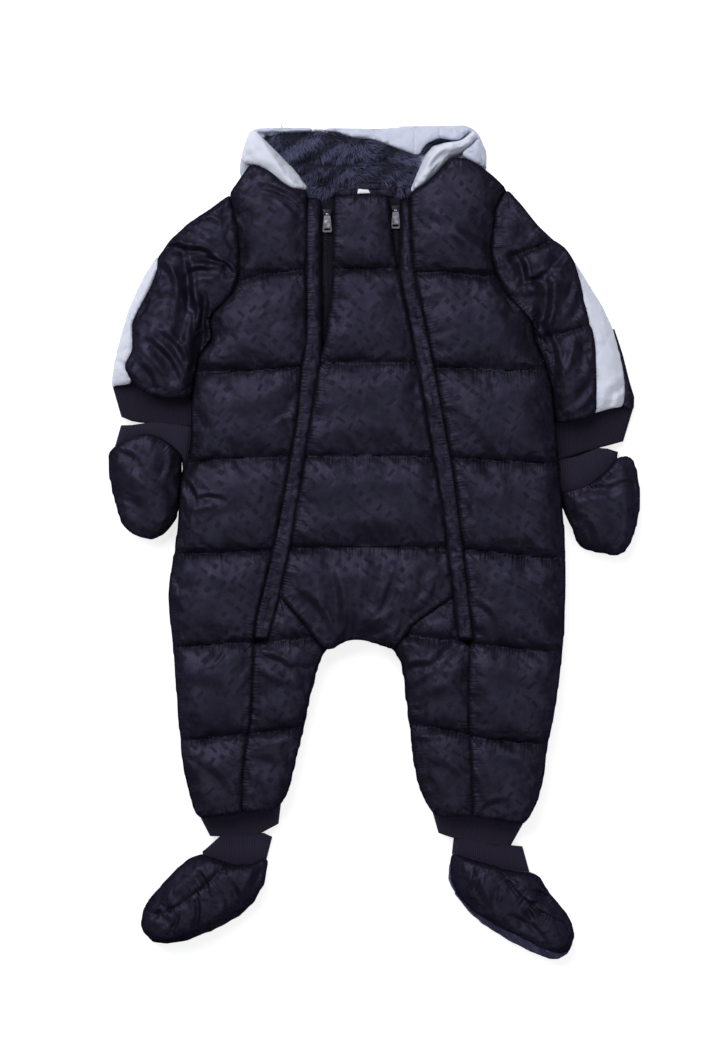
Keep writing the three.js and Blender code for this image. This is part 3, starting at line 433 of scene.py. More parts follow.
def creased(co, rows, upper, deeper):
    """Soft troughs and ridges, listed one a row: x and y of both ends, half width, and depth, in
    millimetres. A trough has a steep side, a flat side and a low ridge along it; a minus turns it over."""
    for x0, y0, x1, y1, width, depth in rows:
        a, b = np.array([x0, y0]) * MM, np.array([x1, y1]) * MM
        d = b - a
        t = np.clip((co[:, :2] - a) @ d / (d @ d), 0, 1)
        across = np.array([-d[1], d[0]])
        bow = 0.08 * np.sin(math.pi * t)[:, None] * across
        off = co[:, :2] - a - t[:, None] * d - bow
        gap = np.linalg.norm(off, axis=1) / (width * MM)
        gap *= np.where(off @ across > 0, 1.35, 0.75)
        fade = np.sin(math.pi * np.clip(t * 0.8 + 0.1, 0, 1)) ** 0.7
        shape = np.exp(-gap ** 1.5) - 0.45 * np.exp(-((gap - 1.9) / 0.8) ** 2)
        co[:, 2] -= deeper * depth * MM * shape * fade * upper
    return co


def sunk_lines(co, lines, depth, near):
    """Draws the points beside each quilting line onto it, and sinks them, so that the seam is a groove."""
    for line in lines:
        points = np.array(line, dtype=float) * MM
        a, d = points[:-1], np.diff(points, axis=0)
        best = np.full(len(co), near)
        target = co[:, :2].copy()
        for start, way in zip(a, d):
            t = np.clip((co[:, :2] - start) @ way / (way @ way), 0, 1)
            foot = start + t[:, None] * way
            gap = np.linalg.norm(co[:, :2] - foot, axis=1)
            nearer = gap < best
            best[nearer] = gap[nearer]
            target[nearer] = foot[nearer]
        on_line = best < near
        co[on_line, :2] = target[on_line]
        co[on_line, 2] -= depth
    return co


def padded_piece(node, settings, lines, folds, seed, material, slot, turn=0.0, stretch=None, pucker=1.0,
                 voxel=None, cap=0.007, dip=QUILT_DIP, level=True, fill=0.7, full=0.65, rise=1.0, coarse=1.0,
                 rolled=0.15, channel=1.0, square=0.04, deeper=1.0, ticks=None):
    """A padded piece on its solid's form: sewn channels, swollen by the cloth simulation, puckered, creased.

    turn is the cloth's grain in degrees, and cap how far the cloth may swell. full (smaller is squarer) and
    rise shape the pad, dip and channel its quilting, rolled and square its edges. level says that its solid
    dips beside the level quilting lines. pucker, coarse and deeper scale its gathers and folds. ticks are the
    seams whose gathers show in the material, where they aren't all of them.
    """
    low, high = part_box(node)
    base, crown = low.z, high.z - low.z
    spacing = voxel or settings.voxel
    obj = remeshed(merged_copy(node, node + "_cloth"), spacing)
    cut_away(obj, base, crown)
    rim = outline(node)
    co = coordinates(obj.data)
    away, _ = from_lines(co[:, :2], lines)
    edge, _ = to_line(co[:, :2], rim)
    height = co[:, 2] - base
    if level:
        height = height / level_dip(co[:, 1])
    height = crown * rise * np.clip(height / crown, 0, 1.1) ** full
    height *= quilt_dip(away, dip, settings.channel * channel)
    height *= 1 - rolled * np.exp(-(edge / settings.edge_reach) ** 2)
    upper = co[:, 2] > base + SKIN_FROM
    co[upper, 2] = base + height[upper]
    rng = np.random.default_rng(seed)
    co[:, 2] += np.where(upper, rng.normal(0, UNEVENNESS, len(co)), 0)
    set_coordinates(obj.data, co)
    smoothed(obj, 0.5, 2)
    pinned = (edge < EDGE_HELD) | (away < LINE_HELD)
    inflate(obj, pinned, settings, settings.stretch if stretch is None else stretch, cap,
            base + crown * rise + HEADROOM)
    modifier = obj.modifiers.new("round", "SUBSURF")
    modifier.levels = modifier.render_levels = 1
    apply_all(obj)
    co = coordinates(obj.data)
    away, along = from_lines(co[:, :2], lines)
    edge, along_edge = to_line(co[:, :2], rim)
    rest = co.copy()
    widened(obj, edge, settings.seam_room)
    co = coordinates(obj.data)
    raised = np.clip(((co[:, 2] - base) / crown - SHOULDER_FROM) / SHOULDER_RISE, 0, 1)
    shoulder = raised * np.exp(-(edge / SHOULDER_WIDE) ** 2)
    co[:, 2] += (co[:, 2] - base) * square * shoulder
    upper = np.clip((co[:, 2] - base - WALL_HEIGHT) / WALL_BLEND, 0, 1)
    depth = settings.pucker * pucker
    co[:, 2] += puckers(away, along, depth, PUCKER_REACH, seed, coarse) * upper
    co[:, 2] += puckers(edge, along_edge, depth * 0.9, PUCKER_REACH, seed + 20, coarse) * upper
    co = creased(co, folds, upper, settings.fold * deeper)
    co = sunk_lines(co, lines, SEAM_GROOVE, spacing * 0.3)
    co[:, 2] = np.maximum(co[:, 2], base)
    set_coordinates(obj.data, co)
    mark_seams(obj, [from_lines(co[:, :2], ticks)] if ticks else [(away, along), (edge, along_edge)])
    close_up(obj)
    flat_uv(obj, rest, turn)
    finished(obj, material, slot, (node,))
    return obj


def under_piece(node, settings, material, slot, seed, turn=0.0, lines=(), voxel=0.003, dense_top=False,
                beside=None):
    """A padded layer under the front: its rolled edge is puckered, and its quilting shows as shallow grooves.
    Where beside gives a stretch of the garment's height, it bulges there towards what lies beside it."""
    low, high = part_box(node)
    obj = remeshed(merged_copy(node, node + "_cloth"), voxel)
    if not dense_top:
        cut_away(obj, low.z, high.z - low.z, down=False)
    smoothed(obj, 0.5, 3)
    rim = outline(node, high=True)
    co = coordinates(obj.data)
    rest = co.copy()
    normals = normals_of(obj.data)
    edge, along = to_line(co[:, :2], rim)
    away, place = from_lines(co[:, :2], lines)
    middle = np.clip(1 - np.abs((co[:, 2] - low.z) / (high.z - low.z) - 0.45) * 2, 0, 1)
    wall = np.clip(1 - np.abs(normals[:, 2]), 0, 1) * middle
    push = settings.pucker * 0.9 * (ripple(along, 0.011, seed) + 0.6 * ripple(along, 0.006, seed + 1))
    push += settings.seam_room
    if beside:
        start, end = beside
        stretch = np.interp(co[:, 1], (start - 0.01, start, end, end + 0.01), (0, 1, 1, 0))
        push += settings.beside_bulge * stretch
    push -= 0.0022 * np.exp(-(away / 0.004) ** 2)
    co[:, :2] += normals[:, :2] * (push * wall)[:, None]
    under = (normals[:, 2] < -0.7) & (co[:, 2] < low.z + 0.0015)
    groove = 0.0016 * np.exp(-(away / 0.0022) ** 2) + np.abs(puckers(away, place, 0.0005, 0.008, seed + 4))
    co[under, 2] = low.z + groove[under]
    rolled = (normals[:, 2] > 0.5) * np.exp(-edge / 0.004)
    uneven = 1 + 0.5 * ripple(along, 0.0052, seed + 6) + 0.5 * ripple(along, 0.0024, seed + 8)
    co[:, 2] -= 0.0011 * rolled * uneven
    co[:, 2] = np.clip(co[:, 2], low.z, high.z)
    set_coordinates(obj.data, co)
    mark_seams(obj, [(away, place), (edge, along)])
    close_up(obj)
    flat_uv(obj, rest, turn)
    finished(obj, material, slot, (node,))
    return obj


# ------------------------------------------------------------------ materials
class Recipe:
    """Writes a node material: each step adds one node, and hands its output on to the next."""

    def __init__(self, name):
        self.material = bpy.data.materials.new(name)
        self.material.use_nodes = True
        self.tree = self.material.node_tree
        self.shader = self.tree.nodes["Principled BSDF"]

    def add(self, kind, inputs=None, output=0, **settings):
        node = self.tree.nodes.new(kind)
        for name, value in settings.items():
            setattr(node, name, value)
        for name, value in (inputs or {}).items():
            self.put(node.inputs[name], value)
        return node.outputs[output]

    def put(self, socket, value):
        if isinstance(value, bpy.types.NodeSocket):
            self.tree.links.new(value, socket)
        else:
            socket.default_value = value

    def sum(self, operation, a, b=0.0, c=0.0):
        return self.add("ShaderNodeMath", {0: a, 1: b, 2: c}, operation=operation)

    def times(self, a, b):
        return self.sum("MULTIPLY", a, b)

    def plus(self, a, b):
        return self.sum("ADD", a, b)

    def minus(self, a, b):
        return self.sum("SUBTRACT", a, b)

    def distance(self, a, b):
        return self.sum("ABSOLUTE", self.minus(a, b))

    def cloth(self):
        return self.add("ShaderNodeUVMap", uv_map="cloth")

    def place(self):
        return self.add("ShaderNodeTexCoord", output="Object")

    def split(self, vector, axis):
        return self.add("ShaderNodeSeparateXYZ", {0: vector}, output=axis)

    def noise(self, vector, scale, detail=3.0, roughness=0.55):
        return self.add("ShaderNodeTexNoise", {"Vector": vector, "Scale": scale, "Detail": detail,
                                               "Roughness": roughness})

    def turned(self, vector, angle, scale=(1, 1, 1), shift=(0, 0, 0)):
        """The same coordinates scaled, then turned by an angle in degrees, then moved."""
        return self.add("ShaderNodeMapping", {"Vector": vector, "Rotation": (0, 0, math.radians(angle)),
                                              "Scale": scale, "Location": shift})

    def attribute(self, name):
        return self.add("ShaderNodeAttribute", attribute_name=name, output="Fac")

    def seam_ticks(self, scale):
        """Fine gathers that cross a seam and fade away from it."""
        ticks = self.add("ShaderNodeTexNoise", {"W": self.attribute("run"), "Scale": scale, "Detail": 1.0},
                         noise_dimensions="1D")
        return self.times(ticks, self.attribute("seam"))

    def wave(self, vector, scale, distortion=0.0, direction="X"):
        return self.add("ShaderNodeTexWave", {"Vector": vector, "Scale": scale, "Distortion": distortion},
                        output=1, bands_direction=direction)

    def between(self, share, low, high):
        """A number between low and high, as share says."""
        return self.add("ShaderNodeMapRange", {"Value": share, "To Min": low, "To Max": high})

    def colours(self, share, low, high):
        """A colour between low and high, as share says, from a Mix node's colour sockets."""
        return self.add("ShaderNodeMix", {0: share, 6: low, 7: high}, output=2, data_type="RGBA")

    def ramp(self, value, start, end):
        return self.add("ShaderNodeMapRange", {"Value": value, "From Min": start, "From Max": end},
                        interpolation_type="SMOOTHSTEP")

    def bump(self, height, distance, strength=1.0, after=None):
        inputs = {"Height": height, "Distance": distance, "Strength": strength}
        if after is not None:
            inputs["Normal"] = after
        return self.add("ShaderNodeBump", inputs)

    def finish(self, **sockets):
        for name, value in sockets.items():
            self.put(self.shader.inputs[name.replace("_", " ")], value)
        return self.material


def tinted(colour, share):
    return tuple(channel * share for channel in colour[:3]) + (1.0,)


def block_mask(recipe, cloth, pitch):
    """Blocks and bars scattered on a slanting, wavy grid of this pitch: 1 on a motif, 0 on the ground."""
    slant, far, waviness, block_half = 38, 500, 0.8, 0.265
    grid = recipe.turned(cloth, slant, (1 / pitch, 1 / pitch, 1), (far, far, 0))
    warp = recipe.between(recipe.noise(cloth, 22.0, 1.0), -waviness, waviness)
    grid = recipe.add("ShaderNodeVectorMath", {0: grid, 1: warp}, operation="ADD")
    row = recipe.sum("FLOOR", recipe.split(grid, "Y"))
    across = recipe.plus(recipe.split(grid, "X"), recipe.times(row, 0.37))
    cell = recipe.add("ShaderNodeCombineXYZ", {0: recipe.sum("FLOOR", across), 1: row})
    chance = recipe.add("ShaderNodeTexWhiteNoise", {"Vector": cell}, noise_dimensions="2D")
    flat_bar = recipe.sum("LESS_THAN", chance, 0.30)
    tall_bar = recipe.sum("LESS_THAN", recipe.distance(chance, 0.42), 0.12)
    bare = recipe.sum("GREATER_THAN", chance, 0.90)
    mask = 1.0
    up = recipe.split(grid, "Y")
    for part, longer, shorter in ((across, flat_bar, tall_bar), (up, tall_bar, flat_bar)):
        half = recipe.sum("MULTIPLY_ADD", longer, 0.16, block_half)
        half = recipe.minus(recipe.sum("MULTIPLY_ADD", shorter, -0.08, half), bare)
        off = recipe.distance(recipe.sum("FRACT", part), 0.5)
        inside = recipe.ramp(recipe.minus(half, off), 0.0, 0.07)
        mask = recipe.times(inside, mask)
    return mask


def navy_satin(name, colour, steep=(0.10, 0.10, 0.15, 1)):
    """Padded shell cloth: a satin ground that catches the light, with matt woven motifs tone on tone."""
    recipe = Recipe(name)
    cloth = recipe.cloth()
    cloudy = recipe.noise(cloth, 34.0, 5.0, 0.65)
    mask = recipe.times(block_mask(recipe, cloth, 0.0104), recipe.ramp(cloudy, 0.37, 0.56))
    ground = recipe.colours(recipe.ramp(cloudy, 0.25, 0.75), tinted(colour, 0.60), tinted(colour, 1.22))
    base = recipe.colours(recipe.times(mask, 0.74), ground, tinted(colour, 0.58))
    slub = recipe.noise(recipe.turned(cloth, 0, (1.0, 9.0, 1.0)), 190.0, 3.0)
    floats = recipe.wave(recipe.turned(cloth, 62), 900.0, 1.5)
    weave = recipe.sum("MULTIPLY_ADD", floats, 0.4, slub)
    bump = recipe.bump(recipe.sum("MULTIPLY_ADD", mask, 1.2, weave), 0.00006, 0.6)
    crinkle = recipe.noise(recipe.turned(cloth, 30, (1.0, 0.8, 1.0)), 260.0, 4.0, 0.65)
    bump = recipe.bump(crinkle, 0.0008, 0.32, bump)
    rumple = recipe.noise(recipe.turned(cloth, -25, (1.0, 0.7, 1.0)), 48.0, 2.0, 0.5)
    bump = recipe.bump(rumple, 0.0045, 0.5, bump)
    bump = recipe.bump(recipe.seam_ticks(400.0), 0.0019, 0.9, bump)
    rough = recipe.plus(recipe.between(mask, 0.52, 0.62), recipe.between(slub, -0.06, 0.06))
    # Part of the sheen is a metal's, because only a metal's edge colour keeps the steep sides dark
    metal = recipe.between(mask, 0.78, 0.70)
    return recipe.finish(Base_Color=base, Roughness=rough, Normal=bump, Metallic=metal,
                         Specular_IOR_Level=0.0, Specular_Tint=steep)


def grey_cloth(name, colour):
    """The light cloth of the stripe and the hood: plain woven, with a faint sheen."""
    recipe = Recipe(name)
    cloth = recipe.cloth()
    across = recipe.wave(cloth, 480.0, 0.6, "X")
    along = recipe.wave(cloth, 480.0, 0.6, "Y")
    weave = recipe.times(across, along)
    cloudy = recipe.noise(cloth, 35.0, 4.0)
    tone = recipe.plus(recipe.times(cloudy, 0.7), recipe.times(weave, 0.3))
    base = recipe.colours(tone, tinted(colour, 0.93), tinted(colour, 1.05))
    fine = recipe.noise(cloth, 260.0, 3.0)
    bump = recipe.bump(fine, 0.0006, 0.3, recipe.bump(weave, 0.00008, 0.5))
    bump = recipe.bump(recipe.seam_ticks(360.0), 0.0008, 0.6, bump)
    rough = recipe.between(cloudy, 0.56, 0.70)
    return recipe.finish(Base_Color=base, Roughness=rough, Normal=bump, Specular_IOR_Level=0.4,
                         Sheen_Weight=0.15, Sheen_Roughness=0.5)


def rib_knit(name, colour):
    """Ribbed jersey: the ribs are modelled, and each holds small slanted loops. Its colour is painted lighter
    on the crests, as highlight, and darker in the valleys and the groove between its layers, as shade.
    """
    recipe = Recipe(name)
    cloth = recipe.cloth()
    loops = recipe.sum("MAXIMUM", recipe.wave(recipe.turned(cloth, 35), 430.0, 0.8),
                       recipe.wave(recipe.turned(cloth, -35), 430.0, 0.8))
    fuzz = recipe.noise(cloth, 900.0, 3.0, 0.7)
    # Painted highlight and shade: lighter on the crests, darker in the valleys and in the wall's groove
    tone = recipe.times(recipe.attribute("crest"), recipe.between(fuzz, 0.75, 1.1))
    base = recipe.colours(tone, tinted(colour, 0.72), tinted(colour, 1.10))
    bump = recipe.bump(recipe.plus(loops, recipe.times(fuzz, 0.6)), 0.00012, 0.6)
    return recipe.finish(Base_Color=base, Roughness=0.95, Normal=bump, Specular_IOR_Level=0.06)


def fleece_pile(name, root, tip):
    """Deep pile: slate at the tips and painted darker towards the roots, as the shade inside the pile. Every
    tuft has a tone of its own, partly random and partly painted shade where its clump is thin.
    """
    recipe = Recipe(name)
    tone = recipe.attribute("tone")
    # Painted shade: the pile darkens from its tips towards its roots
    towards_tip = recipe.sum("POWER", recipe.attribute("tip"), 1.4)
    share = recipe.times(towards_tip, recipe.between(tone, 0.1, 1.45))
    base = recipe.colours(share, root, tip)
    hairs = recipe.noise(recipe.place(), 2500.0, 2.0)
    rough = recipe.between(tone, 0.65, 0.9)
    return recipe.finish(Base_Color=base, Roughness=rough, Normal=recipe.bump(hairs, 0.0002, 0.3),
                         Specular_IOR_Level=0.12, Sheen_Weight=0.06, Sheen_Roughness=0.5,
                         Sheen_Tint=(0.5, 0.6, 1.0, 1))


def woven_tape(name, colour):
    """Zip tape: a close herringbone with a fine rib."""
    recipe = Recipe(name)
    cloth = recipe.cloth()
    rib = recipe.wave(cloth, 330.0, 0.4, "Y")
    twill = recipe.wave(recipe.turned(cloth, 50), 300.0, 0.5)
    weave = recipe.plus(rib, recipe.times(twill, 0.6))
    base = recipe.colours(recipe.times(weave, 0.6), tinted(colour, 0.6), tinted(colour, 1.3))
    return recipe.finish(Base_Color=base, Roughness=recipe.between(rib, 0.7, 0.85),
                         Normal=recipe.bump(weave, 0.0003, 0.8), Specular_IOR_Level=0.15)


def spun(name, colour, rough, pitch=1500.0):
    """Thread or monofilament: twisted, with a soft gloss."""
    recipe = Recipe(name)
    twist = recipe.wave(recipe.turned(recipe.place(), 40), pitch, 0.3)
    base = recipe.colours(twist, tinted(colour, 0.7), tinted(colour, 1.2))
    return recipe.finish(Base_Color=base, Roughness=recipe.between(twist, rough - 0.06, rough + 0.06),
                         Normal=recipe.bump(twist, 0.0001, 0.4), Specular_IOR_Level=0.2)


def gunmetal(name, colour):
    """Lacquered die-cast metal, rubbed a little brighter along its edges."""
    recipe = Recipe(name)
    place = recipe.place()
    pointed = recipe.add("ShaderNodeNewGeometry", output="Pointiness")
    edge = recipe.ramp(pointed, 0.52, 0.62)
    grain = recipe.noise(place, 900.0, 4.0, 0.6)
    worn = recipe.times(edge, recipe.ramp(recipe.noise(place, 400.0, 3.0), 0.35, 0.65))
    base = recipe.colours(worn, tinted(colour, 1.0), tinted(colour, 2.2))
    rough = recipe.minus(recipe.between(grain, 0.32, 0.48), recipe.times(worn, 0.1))
    bump = recipe.bump(grain, 0.00003, 0.4)
    return recipe.finish(Base_Color=base, Roughness=rough, Metallic=0.85, Normal=bump)


def label_satin(name, colour):
    """The blank woven label: white satin with a fine rib."""
    recipe = Recipe(name)
    cloth = recipe.cloth()
    rib = recipe.wave(cloth, 500.0, 0.2, "Y")
    base = recipe.colours(rib, tinted(colour, 0.9), tinted(colour, 1.0))
    rough = recipe.between(rib, 0.42, 0.55)
    return recipe.finish(Base_Color=base, Roughness=rough, Normal=recipe.bump(rib, 0.0001, 0.5))


def studio_floor(name, colour):
    """A pale, matt floor that glows a little, so that its shadows stay faint."""
    recipe = Recipe(name)
    mottle = recipe.noise(recipe.place(), 3.0, 2.0)
    base = recipe.colours(mottle, tinted(colour, 0.995), tinted(colour, 1.0))
    return recipe.finish(Base_Color=base, Roughness=0.9, Specular_IOR_Level=0.1, Emission_Color=(1, 1, 1, 1),
                         Emission_Strength=0.72)


# ------------------------------------------------------------------ ribbed cuffs
def corners_of(loop, turn):
    """Where a closed line has its four corners, from the top left round by the bottom, for a turned band."""
    cos, sin = math.cos(math.radians(turn)), math.sin(math.radians(turn))
    across, up = loop[:, 0] * cos + loop[:, 1] * sin, loop[:, 1] * cos - loop[:, 0] * sin
    across = 1.2 * across
    return [int(np.argmax(value)) for value in (up - across, -up - across, across - up, up + across)]


def stretch_of(loop, start, end, count):
    """The line from one corner to the next, evenly divided."""
    size = len(loop)
    line = np.array([loop[(start + k) % size] for k in range((end - start) % size + 1)])
    steps = np.concatenate([[0], np.cumsum(np.hypot(*np.diff(line, axis=0).T))])
    even = np.linspace(0, steps[-1], count + 1)
    return np.stack([np.interp(even, steps, line[:, 0]), np.interp(even, steps, line[:, 1])], axis=1)


def four_sided(loop, turn, columns, rows):
    """A patch of rows and columns of points that fills a four-sided outline."""
    area = np.sum(loop[:, 0] * np.roll(loop[:, 1], -1) - np.roll(loop[:, 0], -1) * loop[:, 1])
    loop = loop if area > 0 else loop[::-1]
    a, b, c, d = corners_of(loop, turn)
    left, bottom = stretch_of(loop, a, b, rows), stretch_of(loop, b, c, columns)
    right, top = stretch_of(loop, c, d, rows)[::-1], stretch_of(loop, d, a, columns)[::-1]
    u = np.linspace(0, 1, columns + 1)[None, :, None]
    v = np.linspace(0, 1, rows + 1)[:, None, None]
    sides = left[:, None] * (1 - u) + right[:, None] * u + top[None] * (1 - v) + bottom[None] * v
    ends = (top[0] * (1 - u) * (1 - v) + top[-1] * u * (1 - v) + bottom[0] * (1 - u) * v + bottom[-1] * u * v)
    return sides - ends


def grid_faces(rows, columns):
    """The places of a grid's points, and the faces between them."""
    index = np.arange((rows + 1) * (columns + 1)).reshape(rows + 1, columns + 1)
    faces = [(index[i, j], index[i + 1, j], index[i + 1, j + 1], index[i, j + 1])
             for i in range(rows) for j in range(columns)]
    return index, faces


def rib_piece(node, settings, material, turn, seed, sewn_top, body_side):
    """A cuff of rib knit lying flat: rounded at its folds, ridged across, two layers showing at its open end.
    It reaches further towards the body, which lies to its right for a body_side of 1, to its left for -1."""
    low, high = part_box(node)
    loop = outline(node)
    wide = np.ptp(loop[:, 0] * math.cos(math.radians(turn)) + loop[:, 1] * math.sin(math.radians(turn)))
    ridges = max(6, round(wide / settings.rib_pitch))
    columns, rows = ridges * RIB_POINTS, RIB_ROWS
    patch = four_sided(loop, turn, columns, rows)
    reach = np.linspace(1, 0, rows + 1) if sewn_top else np.linspace(0, 1, rows + 1)
    outward = (patch[0] - patch[-1]) if sewn_top else (patch[-1] - patch[0])
    outward /= np.maximum(np.linalg.norm(outward, axis=1), 1e-6)[:, None]
    patch = patch + outward[None] * (reach * settings.rib_tuck)[:, None, None]
    patch = patch - outward[None] * ((1 - reach) * settings.rib_reach)[:, None, None]
    sideways = patch[:, -1:] - patch[:, :1]
    sideways /= np.linalg.norm(sideways, axis=2)[:, :, None]
    across = np.linspace(-1, 1, columns + 1)
    side_reach = settings.rib_reach * np.where(across * body_side > 0, BODY_REACH, 1.0)
    patch = patch + sideways * (across ** 9 * side_reach)[None, :, None]
    rng = np.random.default_rng(seed)
    u = np.linspace(0, 1, columns + 1)
    wave = 0.5 - 0.5 * np.cos(2 * math.pi * ridges * u)
    crest = wave ** 0.7 * np.repeat(rng.uniform(0.75, 1.0, ridges + 1), RIB_POINTS)[: columns + 1]
    full = high.z - low.z
    to_left, to_right = (np.linalg.norm(patch - side, axis=2) for side in (patch[:, :1], patch[:, -1:]))
    share = np.sqrt(1 - (1 - np.minimum(np.minimum(to_left, to_right) / RIB_FOLD, 1)) ** 2)
    height = 0.42 * full + 0.54 * full * share
    sag = np.sin(math.pi * np.linspace(0, 1, rows + 1))[:, None]
    folds = ripple(np.broadcast_to(u * wide, height.shape).ravel(), 0.016, seed).reshape(height.shape)
    height = height + 0.0006 * folds * share - 0.0007 * (1 - sag) * share
    height += settings.rib_depth * (crest[None] - 0.5)
    height = low.z + np.minimum(height, full)
    points = [np.append(patch[i, j], height[i, j]) for i in range(rows + 1) for j in range(columns + 1)]
    crests_and_shade = [crest[j] for i in range(rows + 1) for j in range(columns + 1)]
    index, faces = grid_faces(rows, columns)
    rim = list(index[:, 0]) + list(index[-1, 1:]) + list(index[:-1, -1][::-1]) + list(index[0, 1:-1][::-1])
    middle = patch.mean(axis=(0, 1))
    above = rim
    for share_up, drawn in RIB_WALL:
        ring = []
        for k in rim:
            x, y, z = points[k]
            inward = middle - (x, y)
            inward = inward / np.linalg.norm(inward)
            shift = drawn - settings.rib_depth * 0.5 * (crests_and_shade[k] - 0.5)
            ring.append(len(points))
            points.append(np.append((x, y) + inward * shift, low.z + (z - low.z) * share_up))
            # The groove's points are painted darker, as its shade
            crests_and_shade.append(crests_and_shade[k] * (0.2 if share_up == RIB_GROOVE[0] else 1.0))
        after = [*range(1, len(rim)), 0]
        faces += [(above[k], ring[k], ring[n], above[n]) for k, n in enumerate(after)]
        above = ring
    faces.append(tuple(above))
    faces = [tuple(int(k) for k in face) for face in faces]
    obj = mesh_object(node + "_knit", [tuple(p) for p in points], faces)
    bm = bmesh.new()
    bm.from_mesh(obj.data)
    bmesh.ops.triangulate(bm, faces=[face for face in bm.faces if len(face.verts) > 4])
    bmesh.ops.recalc_face_normals(bm, faces=bm.faces)
    bm.to_mesh(obj.data)
    bm.free()
    # Each rib's height, partly random, which the material turns into painted highlight and shade
    number_of(obj, "crest", crests_and_shade)
    flat_uv(obj, coordinates(obj.data), turn)
    finished(obj, material, "rib_knit", (node,))
    return obj


# ------------------------------------------------------------------ fleece
def fleece_piece(node, settings, material, comb, seed):
    """Deep-pile lining: a soft backing, and many fine curved tufts that lie the way the pile is combed."""
    low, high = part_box(node)
    obj = smoothed(remeshed(merged_copy(node, node + "_pile"), 0.0018), 0.5, 3)
    mesh = obj.data
    co = coordinates(mesh)
    lower = 0.42 * (co[:, 2] - low.z)
    co[:, 2] -= lower
    centre = co[:, :2].mean(axis=0)
    co[:, :2] = centre + (co[:, :2] - centre) * 0.99
    set_coordinates(mesh, co)
    mesh.calc_loop_triangles()
    corners = np.empty(len(mesh.loop_triangles) * 3, dtype=np.int32)
    mesh.loop_triangles.foreach_get("vertices", corners)
    corners = corners.reshape(-1, 3)
    a, b, c = co[corners[:, 0]], co[corners[:, 1]], co[corners[:, 2]]
    cross = np.cross(b - a, c - a)
    area = np.linalg.norm(cross, axis=1) / 2
    normal = cross / np.maximum(2 * area[:, None], 1e-12)
    shown = normal[:, 2] > -0.25
    weight = area * shown
    rng = np.random.default_rng(seed)
    count = int(weight.sum() / MM ** 2 * settings.pile_density)
    pick = rng.choice(len(area), size=count, p=weight / weight.sum())
    r1, r2 = rng.random(count), rng.random(count)
    turned = r1 + r2 > 1
    r1[turned], r2[turned] = 1 - r1[turned], 1 - r2[turned]
    root = a[pick] + (b - a)[pick] * r1[:, None] + (c - a)[pick] * r2[:, None]
    up = normal[pick]
    flow = math.radians(comb) + 0.9 * ripple(root[:, 0] * 1.3 + root[:, 1] * 0.6, 0.017, seed) \
        + 0.7 * ripple(root[:, 1] * 1.7 - root[:, 0] * 0.5, 0.012, seed + 1) + rng.normal(0, 0.35, count)
    lie = np.stack([np.cos(flow), np.sin(flow), np.zeros(count)], axis=1)
    # Tufts beside the rim lean out over it
    rim_gap, _ = to_line(root[:, :2], outline(node))
    outward = np.zeros((count, 3))
    outward[:, :2] = root[:, :2] - centre
    outward /= np.maximum(np.linalg.norm(outward, axis=1), 1e-9)[:, None]
    lie = lie + outward * (1.3 * np.exp(-rim_gap / 0.0035))[:, None]
    lie /= np.linalg.norm(lie, axis=1)[:, None]
    clump = 0.5 + 0.5 * ripple(root[:, 0] + 0.6 * root[:, 1], 0.013, seed + 2) \
        * ripple(root[:, 1] - 0.5 * root[:, 0], 0.011, seed + 3)
    clump = np.clip(1.5 * clump - 0.3 + 0.5 * ripple(root[:, 0] - 1.7 * root[:, 1], 0.006, seed + 4), 0, 1)
    length = settings.pile_length * rng.uniform(0.65, 1.15, count) * (0.5 + 0.65 * clump)
    ceiling = high.z - 0.0004
    stand = rng.uniform(0.35, 0.75, count)
    points, tips, tones = [], [], []
    bank = 0.5 + 0.5 * ripple(root[:, 1] + 0.22 * root[:, 0], 0.026, seed + 7)
    # A tuft's tone is partly random and partly painted shade: darker where its clump is thin and short
    tone = np.clip(0.9 * clump * (0.35 + 1.0 * bank) + rng.normal(0, 0.14, count), 0, 1)
    side = np.cross(up, lie)
    side /= np.maximum(np.linalg.norm(side, axis=1), 1e-9)[:, None]
    third = np.cross(side, up)
    for share, radius, bend in TUFT_LEVELS:
        along = up * (stand * share * (1 - 0.45 * share))[:, None] + lie * share * (0.35 + 0.5 * bend)
        middle = root - up * 0.0006 + along * length[:, None]
        for k in range(TUFT_SIDES):
            angle = 2 * math.pi * k / TUFT_SIDES
            ring = middle + (side * math.cos(angle) + third * math.sin(angle)) * radius * MM
            ring[:, 2] = np.clip(ring[:, 2], low.z + 0.0002, ceiling)
            points.append(ring)
        tips.append(np.full((count, TUFT_SIDES), share))
        tones.append(np.repeat(tone[:, None], TUFT_SIDES, axis=1))
    levels = len(tips)
    cloud = np.stack(points, axis=1).reshape(-1, 3)
    step = TUFT_SIDES * levels
    first = np.arange(count) * step
    quads = []
    for level in range(levels - 1):
        for k in range(TUFT_SIDES):
            p, q = (first + level * TUFT_SIDES + n for n in (k, (k + 1) % TUFT_SIDES))
            quads.append(np.stack([p, q, q + TUFT_SIDES, p + TUFT_SIDES], axis=1))
    faces = np.concatenate(quads)
    cap = np.stack([first + step - 3, first + step - 2, first + step - 1], axis=1)
    tuft = mesh_object(node + "_tufts", cloud.tolist(), faces.tolist() + cap.tolist())
    for name, rows in (("tip", tips), ("tone", tones)):
        number_of(tuft, name, np.stack(rows, axis=1).reshape(-1))
        # The backing takes the roots' painted shade
        number_of(obj, name, np.full(len(co), BACKING_SHADE))
    only(obj)
    tuft.select_set(True)
    bpy.ops.object.join()
    finished(obj, material, "fleece", (node,))
    return obj


